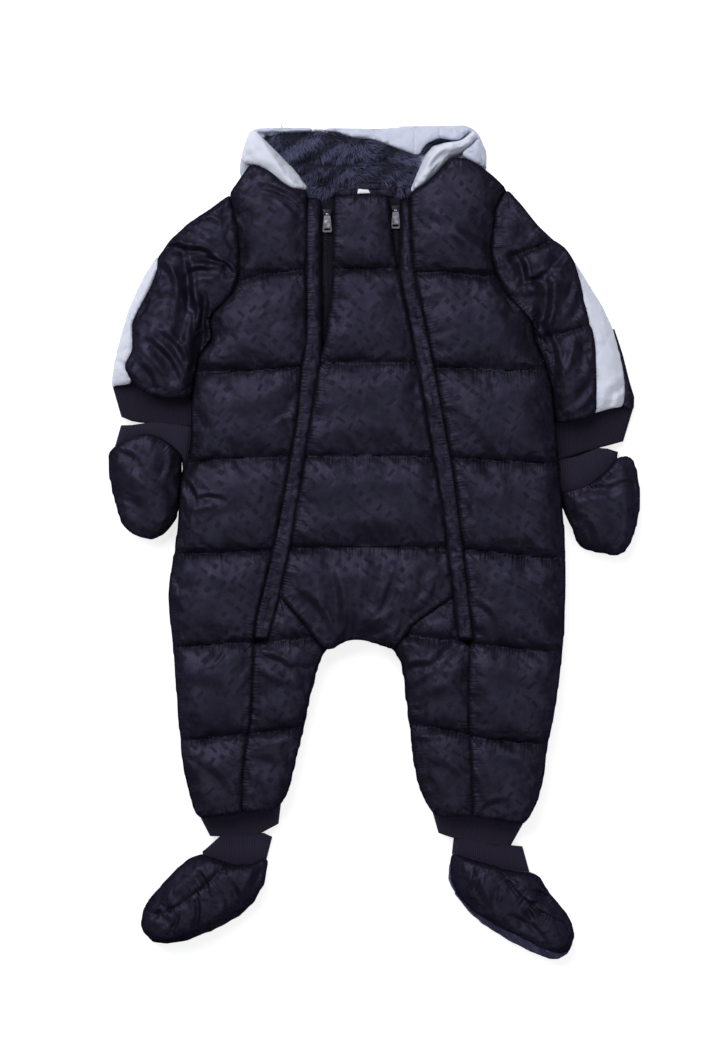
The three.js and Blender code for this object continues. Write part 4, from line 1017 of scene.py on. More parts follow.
# ------------------------------------------------------------------ zips
def stamped(name, pattern, places, material, slot):
    """One joined mesh with a copy of the pattern at each place: a point, its direction and the way up."""
    base = coordinates(pattern.data)
    faces = [tuple(polygon.vertices) for polygon in pattern.data.polygons]
    bpy.data.objects.remove(pattern)
    points, polygons = [], []
    for k, (at, ahead, up) in enumerate(places):
        ahead = ahead / np.linalg.norm(ahead)
        up = up - ahead * (up @ ahead)
        up /= np.linalg.norm(up)
        side = np.cross(up, ahead)
        points.append(at + base[:, :1] * side + base[:, 1:2] * ahead + base[:, 2:] * up)
        polygons += [tuple(v + k * len(base) for v in face) for face in faces]
    obj = mesh_object(name, np.concatenate(points).tolist(), polygons)
    return finished(obj, material, slot)


def capsule(name, wide, long, thick, rings=6, around=8):
    """A small rounded bar along Y, modelled once for stitches and zip teeth."""
    bpy.ops.object.select_all(action="DESELECT")
    bpy.ops.mesh.primitive_uv_sphere_add(segments=around, ring_count=rings, radius=0.5,
                                         rotation=(math.pi / 2, 0, 0))
    obj = tool_object(name)
    bpy.ops.object.transform_apply(rotation=True)
    obj.scale = (wide, long, thick)
    bpy.ops.object.transform_apply(scale=True)
    return obj


def along_line(line, pitch):
    """Even places on a line of points in millimetres, each with its direction."""
    line = np.array(line, dtype=float) * MM
    steps = np.concatenate([[0], np.cumsum(np.hypot(*np.diff(line, axis=0).T))])
    at = np.arange(pitch / 2, steps[-1], pitch)

    def places(far):
        return np.stack([np.interp(far, steps, line[:, 0]), np.interp(far, steps, line[:, 1])], axis=1)

    return places(at), places(at + MM / 2) - places(at - MM / 2)


def tape_piece(node, material, seed):
    """The woven tape under the teeth, a thin band with soft edges."""
    low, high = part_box(node)
    obj = remeshed(merged_copy(node, node + "_weave"), 0.0012)
    cut_away(obj, low.z, high.z - low.z)
    smoothed(obj, 0.5, 2)
    co = coordinates(obj.data)
    co[:, 2] += np.where(co[:, 2] > low.z + 0.003, 0.0003 * ripple(co[:, 1], 0.012, seed) - 0.0002, 0)
    set_coordinates(obj.data, co)
    close_up(obj)
    flat_uv(obj, coordinates(obj.data))
    finished(obj, material, "zip_tape", (node,))
    return obj


def zip_teeth(name, line, height, settings, material):
    """A closed coil: short rounded turns that reach in from each side by turns."""
    centres, ahead = along_line(line, settings.tooth_pitch / 2)
    places = []
    for k, (centre, way) in enumerate(zip(centres, ahead)):
        way = way / np.linalg.norm(way)
        across = np.array([way[1], -way[0]])
        side = 1 if k % 2 else -1
        at = np.append(centre + across * side * TOOTH_OFF, height)
        slant = np.append(across * side + way * TOOTH_SLANT, 0)
        places.append((at, slant, UPWARDS))
    tooth = capsule("tooth", *TOOTH)
    return stamped(name, tooth, places, material, "zip_tape")


# ------------------------------------------------------------------ sliders and pull tabs
def bevelled(obj, width, segments=3):
    modifier = obj.modifiers.new("bevel", "BEVEL")
    modifier.width = width
    modifier.segments = segments
    modifier.limit_method = "ANGLE"
    modifier.angle_limit = math.radians(35)
    apply_all(obj)
    only(obj)
    bpy.ops.object.shade_smooth_by_angle(angle=math.radians(35))
    return obj


def resized(obj, chosen, value, **about):
    """Scales the points for which chosen says yes."""
    only(obj)
    bpy.ops.object.mode_set(mode="EDIT")
    bpy.ops.mesh.select_all(action="DESELECT")
    bm = bmesh.from_edit_mesh(obj.data)
    for vertex in bm.verts:
        vertex.select = chosen(vertex.co)
    bm.select_flush(True)
    bmesh.update_edit_mesh(obj.data)
    bpy.ops.transform.resize(value=value, **about)
    bpy.ops.object.mode_set(mode="OBJECT")


def scored(obj, cuts):
    """Cuts edges into a mesh where planes cross it, each given by a point and a direction."""
    only(obj)
    bpy.ops.object.mode_set(mode="EDIT")
    for at, way in cuts:
        bpy.ops.mesh.select_all(action="SELECT")
        bpy.ops.mesh.bisect(plane_co=at, plane_no=way)
    bpy.ops.object.mode_set(mode="OBJECT")


def block(name, size, at):
    bpy.ops.object.select_all(action="DESELECT")
    bpy.ops.mesh.primitive_cube_add(size=1, location=at)
    obj = tool_object(name)
    obj.scale = size
    bpy.ops.object.transform_apply(location=True, rotation=False, scale=True)
    return obj


def rod(name, radius, long, at):
    """A round bar along X."""
    bpy.ops.object.select_all(action="DESELECT")
    bpy.ops.mesh.primitive_cylinder_add(vertices=24, radius=radius, depth=long, location=at,
                                        rotation=(0, math.pi / 2, 0))
    obj = tool_object(name)
    bpy.ops.object.transform_apply(location=True, rotation=True, scale=True)
    return obj


def joined(name, parts):
    only(parts[0])
    for part in parts[1:]:
        part.select_set(True)
    bpy.ops.object.join()
    parts[0].name = parts[0].data.name = name
    return parts[0]


def slider_piece(node, pin, sizes, material):
    """The slider: a waisted body, narrow at its lower end, with a ridge and two ears that hold the pin."""
    low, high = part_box(node)
    x, y, z = pin
    wide, floor = high.x - low.x, low.z
    thick = sizes.slider_thick
    body = block(node + "_body", (wide, high.y - low.y, thick), (x, (low.y + high.y) / 2, floor + thick / 2))
    resized(body, lambda co: co.y < low.y + ON_IT, (0.76, 1, 1))
    scored(body, [((x, y, floor + thick * 0.5), (0, 0, 1)), ((x, y - MM, floor), (0, 1, 0))])
    resized(body, lambda co: abs(co.z - floor - thick * 0.5) < ON_IT, (0.86, 0.94, 1))
    bevelled(body, 0.00035)
    lug = (high.z - floor - thick) - 0.0001
    lugs = []
    for way in (-1, 1):
        at = (x + way * sizes.ear_x, y, floor + thick + lug / 2 - 0.0002)
        lugs.append(bevelled(block(node + "_ear", (0.0012, 0.003, lug + 0.0004), at), 0.0004))
    pin_bar = bevelled(rod(node + "_pin", sizes.pin_radius, 2 * sizes.ear_x, (x, y, z)), 0.0001, 2)
    ridge = block(node + "_ridge", (0.0016, 0.004, 0.0006), (x, low.y + 0.0026, floor + thick + 0.0001))
    bevelled(ridge, 0.0003)
    return finished(joined(node + "_metal", [body, *lugs, pin_bar, ridge]), material, "zip_metal", (node,))


def tab_piece(node, pin, sizes, material, body):
    """The pull tab, cut from sheet: narrow at its eye, with a slot near its free end and a shallow panel."""
    x, y, z = pin
    corner = 0.0009  # how much is cut off each corner of the free end
    half, neck, end = sizes.tab_wide / 2, sizes.tab_neck / 2, -sizes.tab_long
    slot_x, slot_low = sizes.slot_wide / 2, end + sizes.slot_from
    slot_high = slot_low + sizes.slot_long
    bpy.ops.object.select_all(action="DESELECT")
    bpy.ops.mesh.primitive_plane_add(size=1)
    tab = tool_object(node + "_plate")
    tab.scale = (2 * half, -end - MM, 1)
    tab.location = (0, (end - MM) / 2, 0)
    bpy.ops.object.transform_apply(location=True, rotation=False, scale=True)
    resized(tab, lambda co: co.y > -2 * MM, (neck / half, 1, 1), center_override=(0, 0, 0))
    cuts = [((way * slot_x, 0, 0), (1, 0, 0)) for way in (-1, 1)]
    cuts += [((0, at, 0), (0, 1, 0)) for at in (slot_low, slot_high, end + corner)]
    scored(tab, cuts)
    resized(tab, lambda co: co.y < end + ON_IT, (1 - corner / half, 1, 1), center_override=(0, 0, 0))
    bm = bmesh.new()
    bm.from_mesh(tab.data)
    middles = {face: face.calc_center_median() for face in bm.faces}
    hole = [face for face, at in middles.items() if abs(at.x) < slot_x and slot_low < at.y < slot_high]
    bmesh.ops.delete(bm, geom=hole, context="FACES")
    bm.to_mesh(tab.data)
    bm.free()
    wall = tab.modifiers.new("sheet", "SOLIDIFY")
    wall.thickness = sizes.tab_thick
    wall.offset = 0
    apply_all(tab)
    bevelled(tab, 0.00028)
    raised = block(node + "_panel", (0.0050, 0.0062, 0.0003), (0, -0.0084, sizes.tab_thick / 2 + 0.00005))
    bevelled(raised, 0.00012, 2)
    bpy.ops.object.select_all(action="DESELECT")
    bpy.ops.mesh.primitive_torus_add(major_segments=28, minor_segments=10, rotation=(0, math.pi / 2, 0),
                                     major_radius=(sizes.eye + sizes.eye_hole) / 2,
                                     minor_radius=(sizes.eye - sizes.eye_hole) / 2)
    eye = tool_object(node + "_eye")
    eye.scale = (1, 1, sizes.eye_wide / (sizes.eye - sizes.eye_hole))
    bpy.ops.object.transform_apply(rotation=True, scale=True)
    only(eye)
    bpy.ops.object.shade_smooth()
    piece = joined(node + "_metal", [tab, raised, eye])
    tilt = math.radians(sizes.tab_tilt)
    co = coordinates(piece.data)
    turned = np.stack([co[:, 0] + x, y + co[:, 1] * math.cos(tilt) - co[:, 2] * math.sin(tilt),
                       z + co[:, 1] * math.sin(tilt) + co[:, 2] * math.cos(tilt)], axis=1)
    set_coordinates(piece.data, turned)
    # Its shading stays as the bevels left it
    piece.data.materials.clear()
    piece.data.materials.append(material)
    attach(piece, body)
    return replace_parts(piece, node)


# ------------------------------------------------------------------ stitches and label
def surface_of(obj):
    return BVHTree.FromPolygons([tuple(p) for p in coordinates(obj.data)],
                                [tuple(polygon.vertices) for polygon in obj.data.polygons])


def sew(name, rows, settings, material, slot):
    """Rows of stitches sunk in the cloth, each lying on the surface just under it."""
    places = []
    for obj, lines in rows:
        surface = surface_of(obj)
        half = settings.stitch * STITCH_SHARE / 2
        for line in lines:
            for centre, ahead in zip(*along_line(line, settings.stitch)):
                ahead = ahead / np.linalg.norm(ahead)
                ends = []
                for way in (-half, 0, half):
                    x, y = centre + ahead * way
                    above = Vector((x, y, STITCH_DROP))
                    ends.append(surface.ray_cast(above, Vector((0, 0, -1)), STITCH_DROP)[0])
                if all(ends) and max(end.z for end in ends) - min(end.z for end in ends) < STITCH_STEP:
                    first, last = np.array(ends[0]), np.array(ends[2])
                    places.append(((first + last) / 2, last - first, UPWARDS))
    stitch = capsule("stitch", STITCH_WIDE, settings.stitch * STITCH_SHARE, STITCH_THICK, rings=5, around=6)
    return stamped(name, stitch, places, material, slot)


def mesh_label(node, material):
    """The blank label: a thin woven band, slightly bowed and wavy."""
    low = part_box(node)[0]
    columns, rows = 14, 4
    patch = four_sided(outline(node), 0, columns, rows)
    u = np.linspace(0, 1, columns + 1)[None, :]
    v = np.linspace(1, 0.3, rows + 1)[:, None]
    bow = 0.0004 * np.sin(math.pi * u) + 0.00015 * np.sin(9 * u) * v
    points = [(x, y, low.z + z) for (x, y), z in zip(patch.reshape(-1, 2), bow.ravel())]
    faces = [tuple(int(k) for k in face) for face in grid_faces(rows, columns)[1]]
    obj = mesh_object(node + "_woven", points, faces)
    wall = obj.modifiers.new("wall", "SOLIDIFY")
    wall.thickness = 0.0004
    wall.offset = 1
    apply_all(obj)
    flat_uv(obj, coordinates(obj.data))
    return finished(obj, material, "label_cloth", (node,))


# ------------------------------------------------------------------ tables of seams and folds, in millimetres
# Quilting lines of each panel, from its left end to its right
QUILT = {
    "front_side_left": [
        [(-120, 243), (-107, 242), (-93, 247), (-74, 249.5), (-48, 252.5)],
        [(-156, 158), (-130, 157), (-102, 158.5), (-74, 161), (-50, 163)],
        [(-170, 69.5), (-149, 75), (-121, 77.5), (-60, 79.5)],
        [(-176, -12), (-158, -10), (-135, -11), (-112, -8), (-82, -7)],
        [(-178, -96.5), (-149, -96), (-126, -93.5), (-96, -92.5)],
        [(-172, -183), (-144, -182), (-121, -179), (-100, -177)]],
    "front_side_right": [
        [(46, 249.5), (74, 250.5), (93, 248), (112, 246), (128, 248)],
        [(64, 162), (112, 160.5), (135, 158.5), (176, 160)],
        [(82, 78.5), (112, 76.5), (140, 75), (188, 72)],
        [(94, -6), (130, -10), (158, -13.5), (194, -16.5)],
        [(100, -93), (130, -96), (158, -100), (192, -102)],
        [(98, -178), (121, -182.5), (140, -184.5), (178, -187)]],
    "front_centre": [
        [(-30, 252), (0, 253.5), (40, 252)], [(-38, 165), (2, 166.5), (54, 165.5)],
        [(-52, 79), (6, 80.5), (70, 78.5)], [(-66, -5.5), (8, -4), (84, -6)]],
    "inner_leg_left": [
        [(-100, -93.5), (-70, -91), (-44, -88.5)], [(-106, -177.5), (-84, -174.5), (-52, -171)]],
    "inner_leg_right": [
        [(34, -84), (60, -88), (92, -92)], [(42, -168), (74, -172.5), (106, -178.5)]],
    "sleeve_front_right": [[(140, 264), (166, 274), (180, 280)], [(158, 187.5), (186, 192), (216, 203)]],
    "bootee_upper_left": [[(-124, -298), (-144, -317.5), (-167, -335), (-188, -344)]],
    "bootee_upper_right": [[(129, -301), (144, -323), (163, -339), (190, -352)]],
    "hood_top": [[(-65, 390), (-64.5, 379)], [(-22, 389), (-22, 379)], [(14, 388), (15, 372)],
                 [(52, 390), (51, 362)], [(75, 390), (74, 374)], [(96, 390), (97, 374)]],
}
# Folds of each panel: x, y of both ends, half width, depth (minus for a ridge)
FOLDS = {
    "front_side_left": [
        (-92, 329, -53, 307, 3.6, 1.6), (-84, 319, -56, 302, 3.0, 1.4), (-96, 322, -68, 303, 3.6, 1.1),
        (-56, 142, -88, 109, 9, 1.4), (-78, 110, -65, 116, 2.6, -1.0), (-163, 57, -152, 39, 3, 1.9),
        (-152, 39, -128, 40, 3.2, 1.8), (-119, -77, -126, -88, 3, 1.4), (-128, -98, -138, -110, 3, 1.4),
        (-108, 220, -66, 196, 12, 0.9), (-150, 12, -108, 30, 10, 0.8), (-160, -40, -110, -55, 11, 0.9),
        (-160, -130, -118, -150, 10, 0.9), (-150, -205, -122, -232, 6, 1.2)],
    "front_side_right": [
        (74, 287, 120, 262, 7, -2.0), (120, 262, 131, 244, 6, -1.5), (60, 300, 92, 268, 6, 1.0),
        (88, 114, 121, 68, 8, 1.1), (121, 66, 167, 30, 8, 1.1), (149, -39, 187, -77, 6, 1.5),
        (107, -58, 121, -72, 4.5, 1.3), (112, -250, 131, -239, 4, 1.4), (96, 232, 160, 186, 12, 1.0),
        (120, -125, 168, -150, 9, 1.0), (128, -200, 160, -228, 7, 1.2)],
    "front_centre": [
        (-27, -28, -26, -91, 5.5, 1.8), (21, -12, 14, -44, 5.5, 1.5), (14, -44, 4, -64, 5, 1.4),
        (33, -37, 18, -64, 4.5, 1.4), (63, -30, 47, -55, 5, 1.5), (-52, -50, -30, -84, 5, 1.6),
        (-20, 232, 24, 190, 14, 0.7), (-34, 140, 22, 100, 15, 0.8), (40, 60, -30, 22, 15, 0.8),
        (70, -20, 40, -36, 6, 1.0), (30, -74, 8, -86, 4, 1.4), (-8, -60, -14, -88, 4.5, 1.2)],
    "inner_leg_left": [
        (-91, -106, -65, -117, 4.5, 1.6), (-65, -117, -54, -116, 4, 1.3), (-90, -132, -60, -140, 7, 1.0),
        (-95, -200, -70, -214, 6, 1.1)],
    "inner_leg_right": [
        (39, -120, 67, -114, 4.5, 1.7), (67, -114, 90, -95, 4.5, 1.7), (54, -132, 74, -122, 4, 1.4),
        (74, -122, 97, -100, 4, 1.4), (62, -150, 92, -140, 8, 0.9), (70, -205, 92, -222, 6, 1.2)],
    "sleeve_front_left": [
        (-180, 272, -158, 270, 4, 2.4), (-158, 270, -136, 262, 4, 2.6), (-164, 268, -166, 188, 4.5, 3.0),
        (-158, 261, -126, 257, 3, 2.0), (-126, 257, -119, 249, 3, 2.0), (-158, 247, -140, 252, 3.4, 1.9),
        (-140, 252, -126, 249, 3.4, 1.9), (-157, 230, -156, 195, 3, 1.7),
        (-149, 228, -151, 200, 2.6, -1.5), (-143, 229, -144, 205, 2.6, 1.6),
        (-193, 184, -169, 153, 4, 2.2), (-181, 190, -163, 165, 4, 2.0), (-186, 258, -173, 235, 4, 1.9),
        (-146, 214, -153, 166, 4.5, 2.6), (-150, 296, -128, 290, 5, 1.2), (-168, 288, -146, 281, 5, 1.3),
        (-205, 165, -190, 142, 4, 1.5)],
    "sleeve_front_right": [
        (144, 266, 151, 240, 4, 2.4), (151, 240, 171, 240, 3.6, 1.8), (172, 240, 163, 193, 5, 3.0),
        (189, 270, 161, 244, 5, 2.1), (163, 242, 185, 248, 4, 1.9), (196, 246, 184, 214, 5, 1.5),
        (206, 226, 194, 206, 5, 1.2), (190, 180, 176, 152, 5, 1.6), (206, 184, 198, 150, 6, 1.3),
        (168, 200, 180, 152, 4.5, 2.4), (212, 150, 196, 128, 5, 1.3), (150, 290, 172, 284, 6, 1.1)],
    "sleeve_stripe_left": [
        (-228, 168, -216, 164, 3, 0.9), (-226, 190, -212, 196, 4, 0.7)],
    "sleeve_stripe_right": [
        (244, 147, 234, 137, 3.5, 1.6), (234, 137, 230, 125, 3.5, 1.5), (214, 236, 222, 214, 5, 0.8)],
    "bootee_upper_left": [
        (-151, -324, -153, -359, 2.2, 1.8), (-167, -343, -179, -364, 2.2, 1.7),
        (-92, -297, -103, -324, 3, 1.8), (-148, -305, -140, -322, 2.4, 1.3),
        (-180, -330, -196, -350, 3, 1.2), (-120, -312, -112, -336, 3.5, 1.1),
        (-190, -336, -172, -346, 2.6, -1.0), (-133, -330, -128, -352, 4, -0.9)],
    "bootee_upper_right": [
        (152, -321, 177, -331, 2.6, 1.8), (158, -332, 182, -338, 2.4, 1.6),
        (110, -305, 100, -326, 3, 1.6), (140, -345, 170, -366, 3.4, 1.4), (126, -318, 118, -340, 3, 1.4),
        (148, -330, 160, -352, 2.6, 1.3), (100, -300, 92, -318, 2.6, 1.2),
        (158, -313, 178, -330, 2.4, -1.6), (92, -304, 120, -350, 5, 1.0)],
    "mitten_back_left": [
        (-226, 84, -206, 74, 4, 1.2), (-180, 84, -186, 60, 4, 1.3), (-222, 40, -200, 30, 6, 1.0),
        (-210, 62, -198, 50, 5, -0.9)],
    "mitten_back_right": [
        (196, 44, 232, 50, 3.6, 1.7), (232, 50, 253, 55, 3.2, 1.6), (250, 60, 254, 12, 3.4, 1.5),
        (206, 20, 214, 0, 5, 1.1), (228, 30, 240, 10, 6, 0.9)],
    "hood_band_left": [
        (-109, 364, -100, 353, 3.4, 1.4), (-96, 372, -74, 345, 7, -0.9), (-90, 350, -72, 334, 4, 0.8)],
    "hood_band_right": [
        (66, 347, 79, 361, 2.4, 1.6), (60, 346, 84, 366, 6, -0.8), (88, 364, 104, 374, 3, 0.9)],
    "hood_side_right": [
        (108, 368, 114, 352, 3, 1.4), (100, 362, 107, 356, 2.6, 1.2), (112, 374, 117, 362, 2.6, 1.0)],
    "hood_top": [
        (92, 386, 99, 377, 2.6, 1.1), (84, 387, 86, 377, 2.4, 0.9), (100, 388, 106, 384, 2, 0.8)],
}
# Seams that carry a row of topstitches beside the quilting
TOPSTITCHED = {
    "zip_flap_left": [
        [(-47.5, 322), (-48, 188), (-53.5, 151), (-56.5, 114), (-62.5, 77), (-69.5, 40), (-76.5, 2),
         (-85.5, -35), (-94, -72), (-96, -88)]],
    "zip_flap_right": [
        [(49, 291), (50.5, 253), (56, 216), (63.5, 179), (71, 142), (77.5, 105), (84.5, 67), (89.5, 30),
         (93.5, -5), (98, -44), (103, -88)]],
}


# The closed coils' courses, in millimetres, from the neck down to where the flaps cover them
COIL_COURSES = {
    "left": [(-32.4, 296), (-32.4, 253), (-31.6, 222), (-33.0, 196), (-35.6, 186)],
    "right": [(33.4, 300), (33.8, 281), (34.4, 266), (36.0, 255)],
}


# ------------------------------------------------------------------ what a user may change
def length(name, description, value, **limits):
    return FloatProperty(name=name, description=description, default=value, unit="LENGTH", **limits)


def amount(name, description, value):
    return FloatProperty(name=name, description=description, default=value)


def colour(name, description, value):
    return FloatVectorProperty(name=name, description=description, subtype="COLOR", size=3, min=0, max=1,
                               default=value)


class SnowsuitCloth(bpy.types.PropertyGroup):
    voxel: length("Cloth mesh", "Spacing of the padded cloth's mesh before it is rounded",
                  0.0027, min=0.0018, max=0.006)
    frames: IntProperty(name="Steps", description="Steps of the cloth simulation", default=16, min=2, max=40)
    pressure: amount("Filling", "How hard the padding pushes out", 3.5)
    stretch: amount("Spare cloth", "Share by which the cloth is larger than its lining", 0.010)
    bending: amount("Stiffness", "How stiffly the cloth bends", 1.2)
    pucker: length("Pucker", "Depth of the gathers beside a seam", 0.0016)
    fold: amount("Folds", "Share of their own depth that the folds are pressed in", 1.55)
    edge_reach: length("Roll", "How wide a seamed edge rolls down", 0.0016)
    channel: length("Channel", "How far a quilting seam draws the padding in", 0.0046)
    seam_room: length("Seam room", "How far a piece reaches past its outline to meet the next", 0.0012)
    rib_pitch: length("Rib pitch", "Distance from one rib to the next", 0.0022)
    rib_tuck: length("Rib tuck", "How far a cuff is tucked in at its sewn end", 0.003)
    beside_bulge: length("Beside bulge", "How far the back bulges towards the sleeves and mittens", 0.0034)
    rib_reach: length("Rib reach", "How far a cuff reaches past its outline to meet the next piece", 0.0010)
    rib_depth: length("Rib depth", "Height of a rib", 0.00045)
    pile_density: amount("Pile density", "Tufts on each square millimetre", 0.85)
    pile_length: length("Pile length", "Length of a tuft", 0.0085)
    stitch: length("Stitch", "Distance from one stitch to the next", 0.0034)


class SnowsuitZip(bpy.types.PropertyGroup):
    tooth_pitch: length("Coil pitch", "Distance between two turns of one side", 0.0016)
    slider_thick: length("Slider body", "Thickness of the slider's body", 0.0022)
    ear_x: length("Ear offset", "Distance of each ear from the middle", 0.003)
    pin_radius: length("Pin radius", "Radius of the pin", 0.0006)
    tab_wide: length("Tab width", "Width of the pull tab", 0.0094)
    tab_neck: length("Tab neck", "Width of the tab at its eye", 0.0058)
    tab_long: length("Tab length", "From the pin to the free end", 0.0164)
    tab_thick: length("Tab thickness", "Thickness of the tab", 0.0012)
    tab_tilt: amount("Tab tilt", "How far the tab lies back on the zip, in degrees", 7.0)
    slot_wide: length("Slot width", "Width of the slot in the tab", 0.0056)
    slot_from: length("Slot place", "From the tab's free end to its slot", 0.0017)
    slot_long: length("Slot height", "Height of the slot in the tab", 0.0020)
    eye: length("Eye", "Outer radius of the tab's eye", 0.0015)
    eye_hole: length("Eye hole", "Inner radius of the tab's eye", 0.00095)
    eye_wide: length("Eye width", "Width of the tab's eye", 0.0036)


class SnowsuitColours(bpy.types.PropertyGroup):
    navy: colour("Shell", "Navy satin of the padded shell", (0.0245, 0.0228, 0.0392))
    sole: colour("Sole", "Worn satin of the right sole's edge", (0.105, 0.102, 0.190))
    light: colour("Stripe and hood", "Light cloth of the stripe and the hood", (0.60, 0.625, 0.74))
    hood: colour("Hood's outside", "Light cloth of the hood's shell and turned-up top", (0.49, 0.52, 0.65))
    knit: colour("Ribs", "Rib knit of the cuffs", (0.0235, 0.0200, 0.0370))
    # The roots' colour is painted shade, which the pile darkens to inside
    pile_root_shade: colour("Pile, roots", "Fleece at its roots", (0.0040, 0.0045, 0.0100))
    pile_tip: colour("Pile, tips", "Fleece at its tips", (0.150, 0.158, 0.290))
    tape: colour("Zip tape", "Woven zip tape", (0.0065, 0.0060, 0.0125))
    coil: colour("Zip coil", "Nylon coil", (0.0240, 0.0225, 0.0360))
    metal: colour("Pull tab", "Lacquered pull tabs", (0.190, 0.185, 0.225))
    slider: colour("Slider", "Lacquered slider bodies", (0.010, 0.0095, 0.015))
    thread: colour("Thread", "Sewing thread", (0.0160, 0.0150, 0.0250))
    label: colour("Label", "Woven label", (0.78, 0.79, 0.84))


class SnowsuitStudio(bpy.types.PropertyGroup):
    floor: colour("Floor", "The table or floor", (0.55, 0.55, 0.56))
    camera_height: length("Camera height", "Height of the camera over the floor", 2.5)
    camera_y: length("Camera place", "Place of the camera along the garment", 0.0223)
    field: length("Field", "Height of the camera's view where the garment lies", 0.9644)
    ambient: amount("Ambient", "Strength of the even light", 0.18)
    key: amount("Key light", "Power of the soft light beyond the hood, in watts", 58.0)
    fill: amount("Fill light", "Power of the soft light beside the camera, in watts", 12.0)


# The soft lights: which power of the studio's they use, where they hang, and their width and height
LAMPS = {"key": ((-0.75, 1.40, 1.90), (2.2, 1.6)), "fill": ((0.7, -0.7, 2.0), (1.4, 1.6))}
FLOOR_SIZE = 9
FLOOR_DROP = 0.0004  # how far the floor lies under the garment
SENSOR = 24  # the camera's sensor in millimetres
FIELD_HEIGHT = 0.014  # height over the floor at which the camera's view is measured

MATERIALS = {}


def material_of(kind):
    """Makes each material once, when a piece first asks for it."""
    if kind not in MATERIALS:
        colours = bpy.context.scene.snowsuit_colours
        makers = {
            "navy_satin": lambda: navy_satin("navy_satin", colours.navy),
            "sole_satin": lambda: navy_satin("sole_satin", colours.sole, (0.55, 0.55, 0.80, 1)),
            "light_cloth": lambda: grey_cloth("light_cloth", colours.light),
            "hood_cloth": lambda: grey_cloth("hood_cloth", colours.hood),
            "rib_knit": lambda: rib_knit("rib_knit", colours.knit),
            # The wrists' knit is the rib knit painted darker, as the shade of the sleeve and body beside it
            "wrist_knit": lambda: rib_knit("wrist_knit", tinted(colours.knit, 0.74)),
            "fleece": lambda: fleece_pile("fleece", (*colours.pile_root_shade, 1), (*colours.pile_tip, 1)),
            "zip_tape": lambda: woven_tape("zip_tape", colours.tape),
            "zip_coil": lambda: spun("zip_coil", colours.coil, 0.35, 900.0),
            "zip_metal": lambda: gunmetal("zip_metal", colours.metal),
            "slider_metal": lambda: gunmetal("slider_metal", colours.slider),
            "thread": lambda: spun("thread", colours.thread, 0.5),
            "label": lambda: label_satin("label", colours.label),
            "floor": lambda: studio_floor("floor", bpy.context.scene.snowsuit_studio.floor),
        }
        MATERIALS[kind] = makers[kind]()
    return MATERIALS[kind]


class SNOWSUIT_OT_studio(bpy.types.Operator):
    """Sets up the floor, the soft lights and the camera straight above the garment"""
    bl_idname = "snowsuit.studio"
    bl_label = "Studio"

    def execute(self, context):
        scene = context.scene
        studio = scene.snowsuit_studio
        bpy.ops.object.select_all(action="DESELECT")
        bpy.ops.mesh.primitive_plane_add(size=FLOOR_SIZE, location=(0, 0, -FLOOR_DROP))
        floor = tool_object("floor")
        floor.data.materials.append(material_of("floor"))
        scene.world = bpy.data.worlds.new("studio")
        scene.world.use_nodes = True
        background = scene.world.node_tree.nodes["Background"]
        background.inputs["Color"].default_value = (0.97, 0.98, 1.0, 1.0)
        background.inputs["Strength"].default_value = studio.ambient
        for name, (place, size) in LAMPS.items():
            lamp = linked(name, bpy.data.lights.new(name, "AREA"))
            lamp.data.shape = "RECTANGLE"
            lamp.data.size, lamp.data.size_y = size
            lamp.data.energy = getattr(studio, name)
            lamp.location = place
            lamp.rotation_euler = (-lamp.location).to_track_quat("-Z", "Y").to_euler()
        camera = linked("camera", bpy.data.cameras.new("camera"))
        camera.location = (0, studio.camera_y, studio.camera_height)
        camera.data.sensor_fit = "VERTICAL"
        camera.data.sensor_height = SENSOR
        camera.data.lens = SENSOR * (studio.camera_height - FIELD_HEIGHT) / studio.field
        scene.camera = camera
        scene.view_settings.view_transform = "Standard"
        return {"FINISHED"}


def panels(names, cloth, kind="navy_satin", slot="navy_satin", **options):
    """Padded pieces of one kind, each with its own channels and folds."""
    for k, name in enumerate(names):
        seed = SEEDS["panel"] + 7 * k + len(name)
        padded_piece(name, cloth, QUILT.get(name, []), FOLDS.get(name, []), seed, material_of(kind), slot,
                     ticks=TOPSTITCHED.get(name), **options)


class SNOWSUIT_OT_front(bpy.types.Operator):
    """Makes the quilted front: centre, side and inner leg panels, and the flaps along the zips"""
    bl_idname = "snowsuit.front"
    bl_label = "Front"

    def execute(self, context):
        cloth = context.scene.snowsuit_cloth
        panels(("front_side_left", "front_side_right", "front_centre"), cloth, full=0.32, cap=0.005)
        panels(("inner_leg_left", "inner_leg_right"), cloth, full=0.32, cap=0.005)
        panels(("zip_flap_left", "zip_flap_right"), cloth, level=False, pucker=0.9, coarse=1.6, stretch=0.02,
               cap=0.003, voxel=0.0019, fill=0.5, rise=1.36, full=0.4, rolled=0.28, square=0.07)
        return {"FINISHED"}


class SNOWSUIT_OT_back(bpy.types.Operator):
    """Makes the quilted back panels that the garment lies on"""
    bl_idname = "snowsuit.back"
    bl_label = "Back"

    def execute(self, context):
        cloth = context.scene.snowsuit_cloth
        rounds = [[(-BACK_HALF, line * 1000), (BACK_HALF, line * 1000)] for line in QUILTING]
        for k, name in enumerate(("back_body", "back_leg_left", "back_leg_right")):
            beside = BESIDE_MITTENS if name == "back_body" else None
            under_piece(name, cloth, material_of("navy_satin"), "navy_satin", SEEDS["back"] + k, lines=rounds,
                        beside=beside)
        return {"FINISHED"}


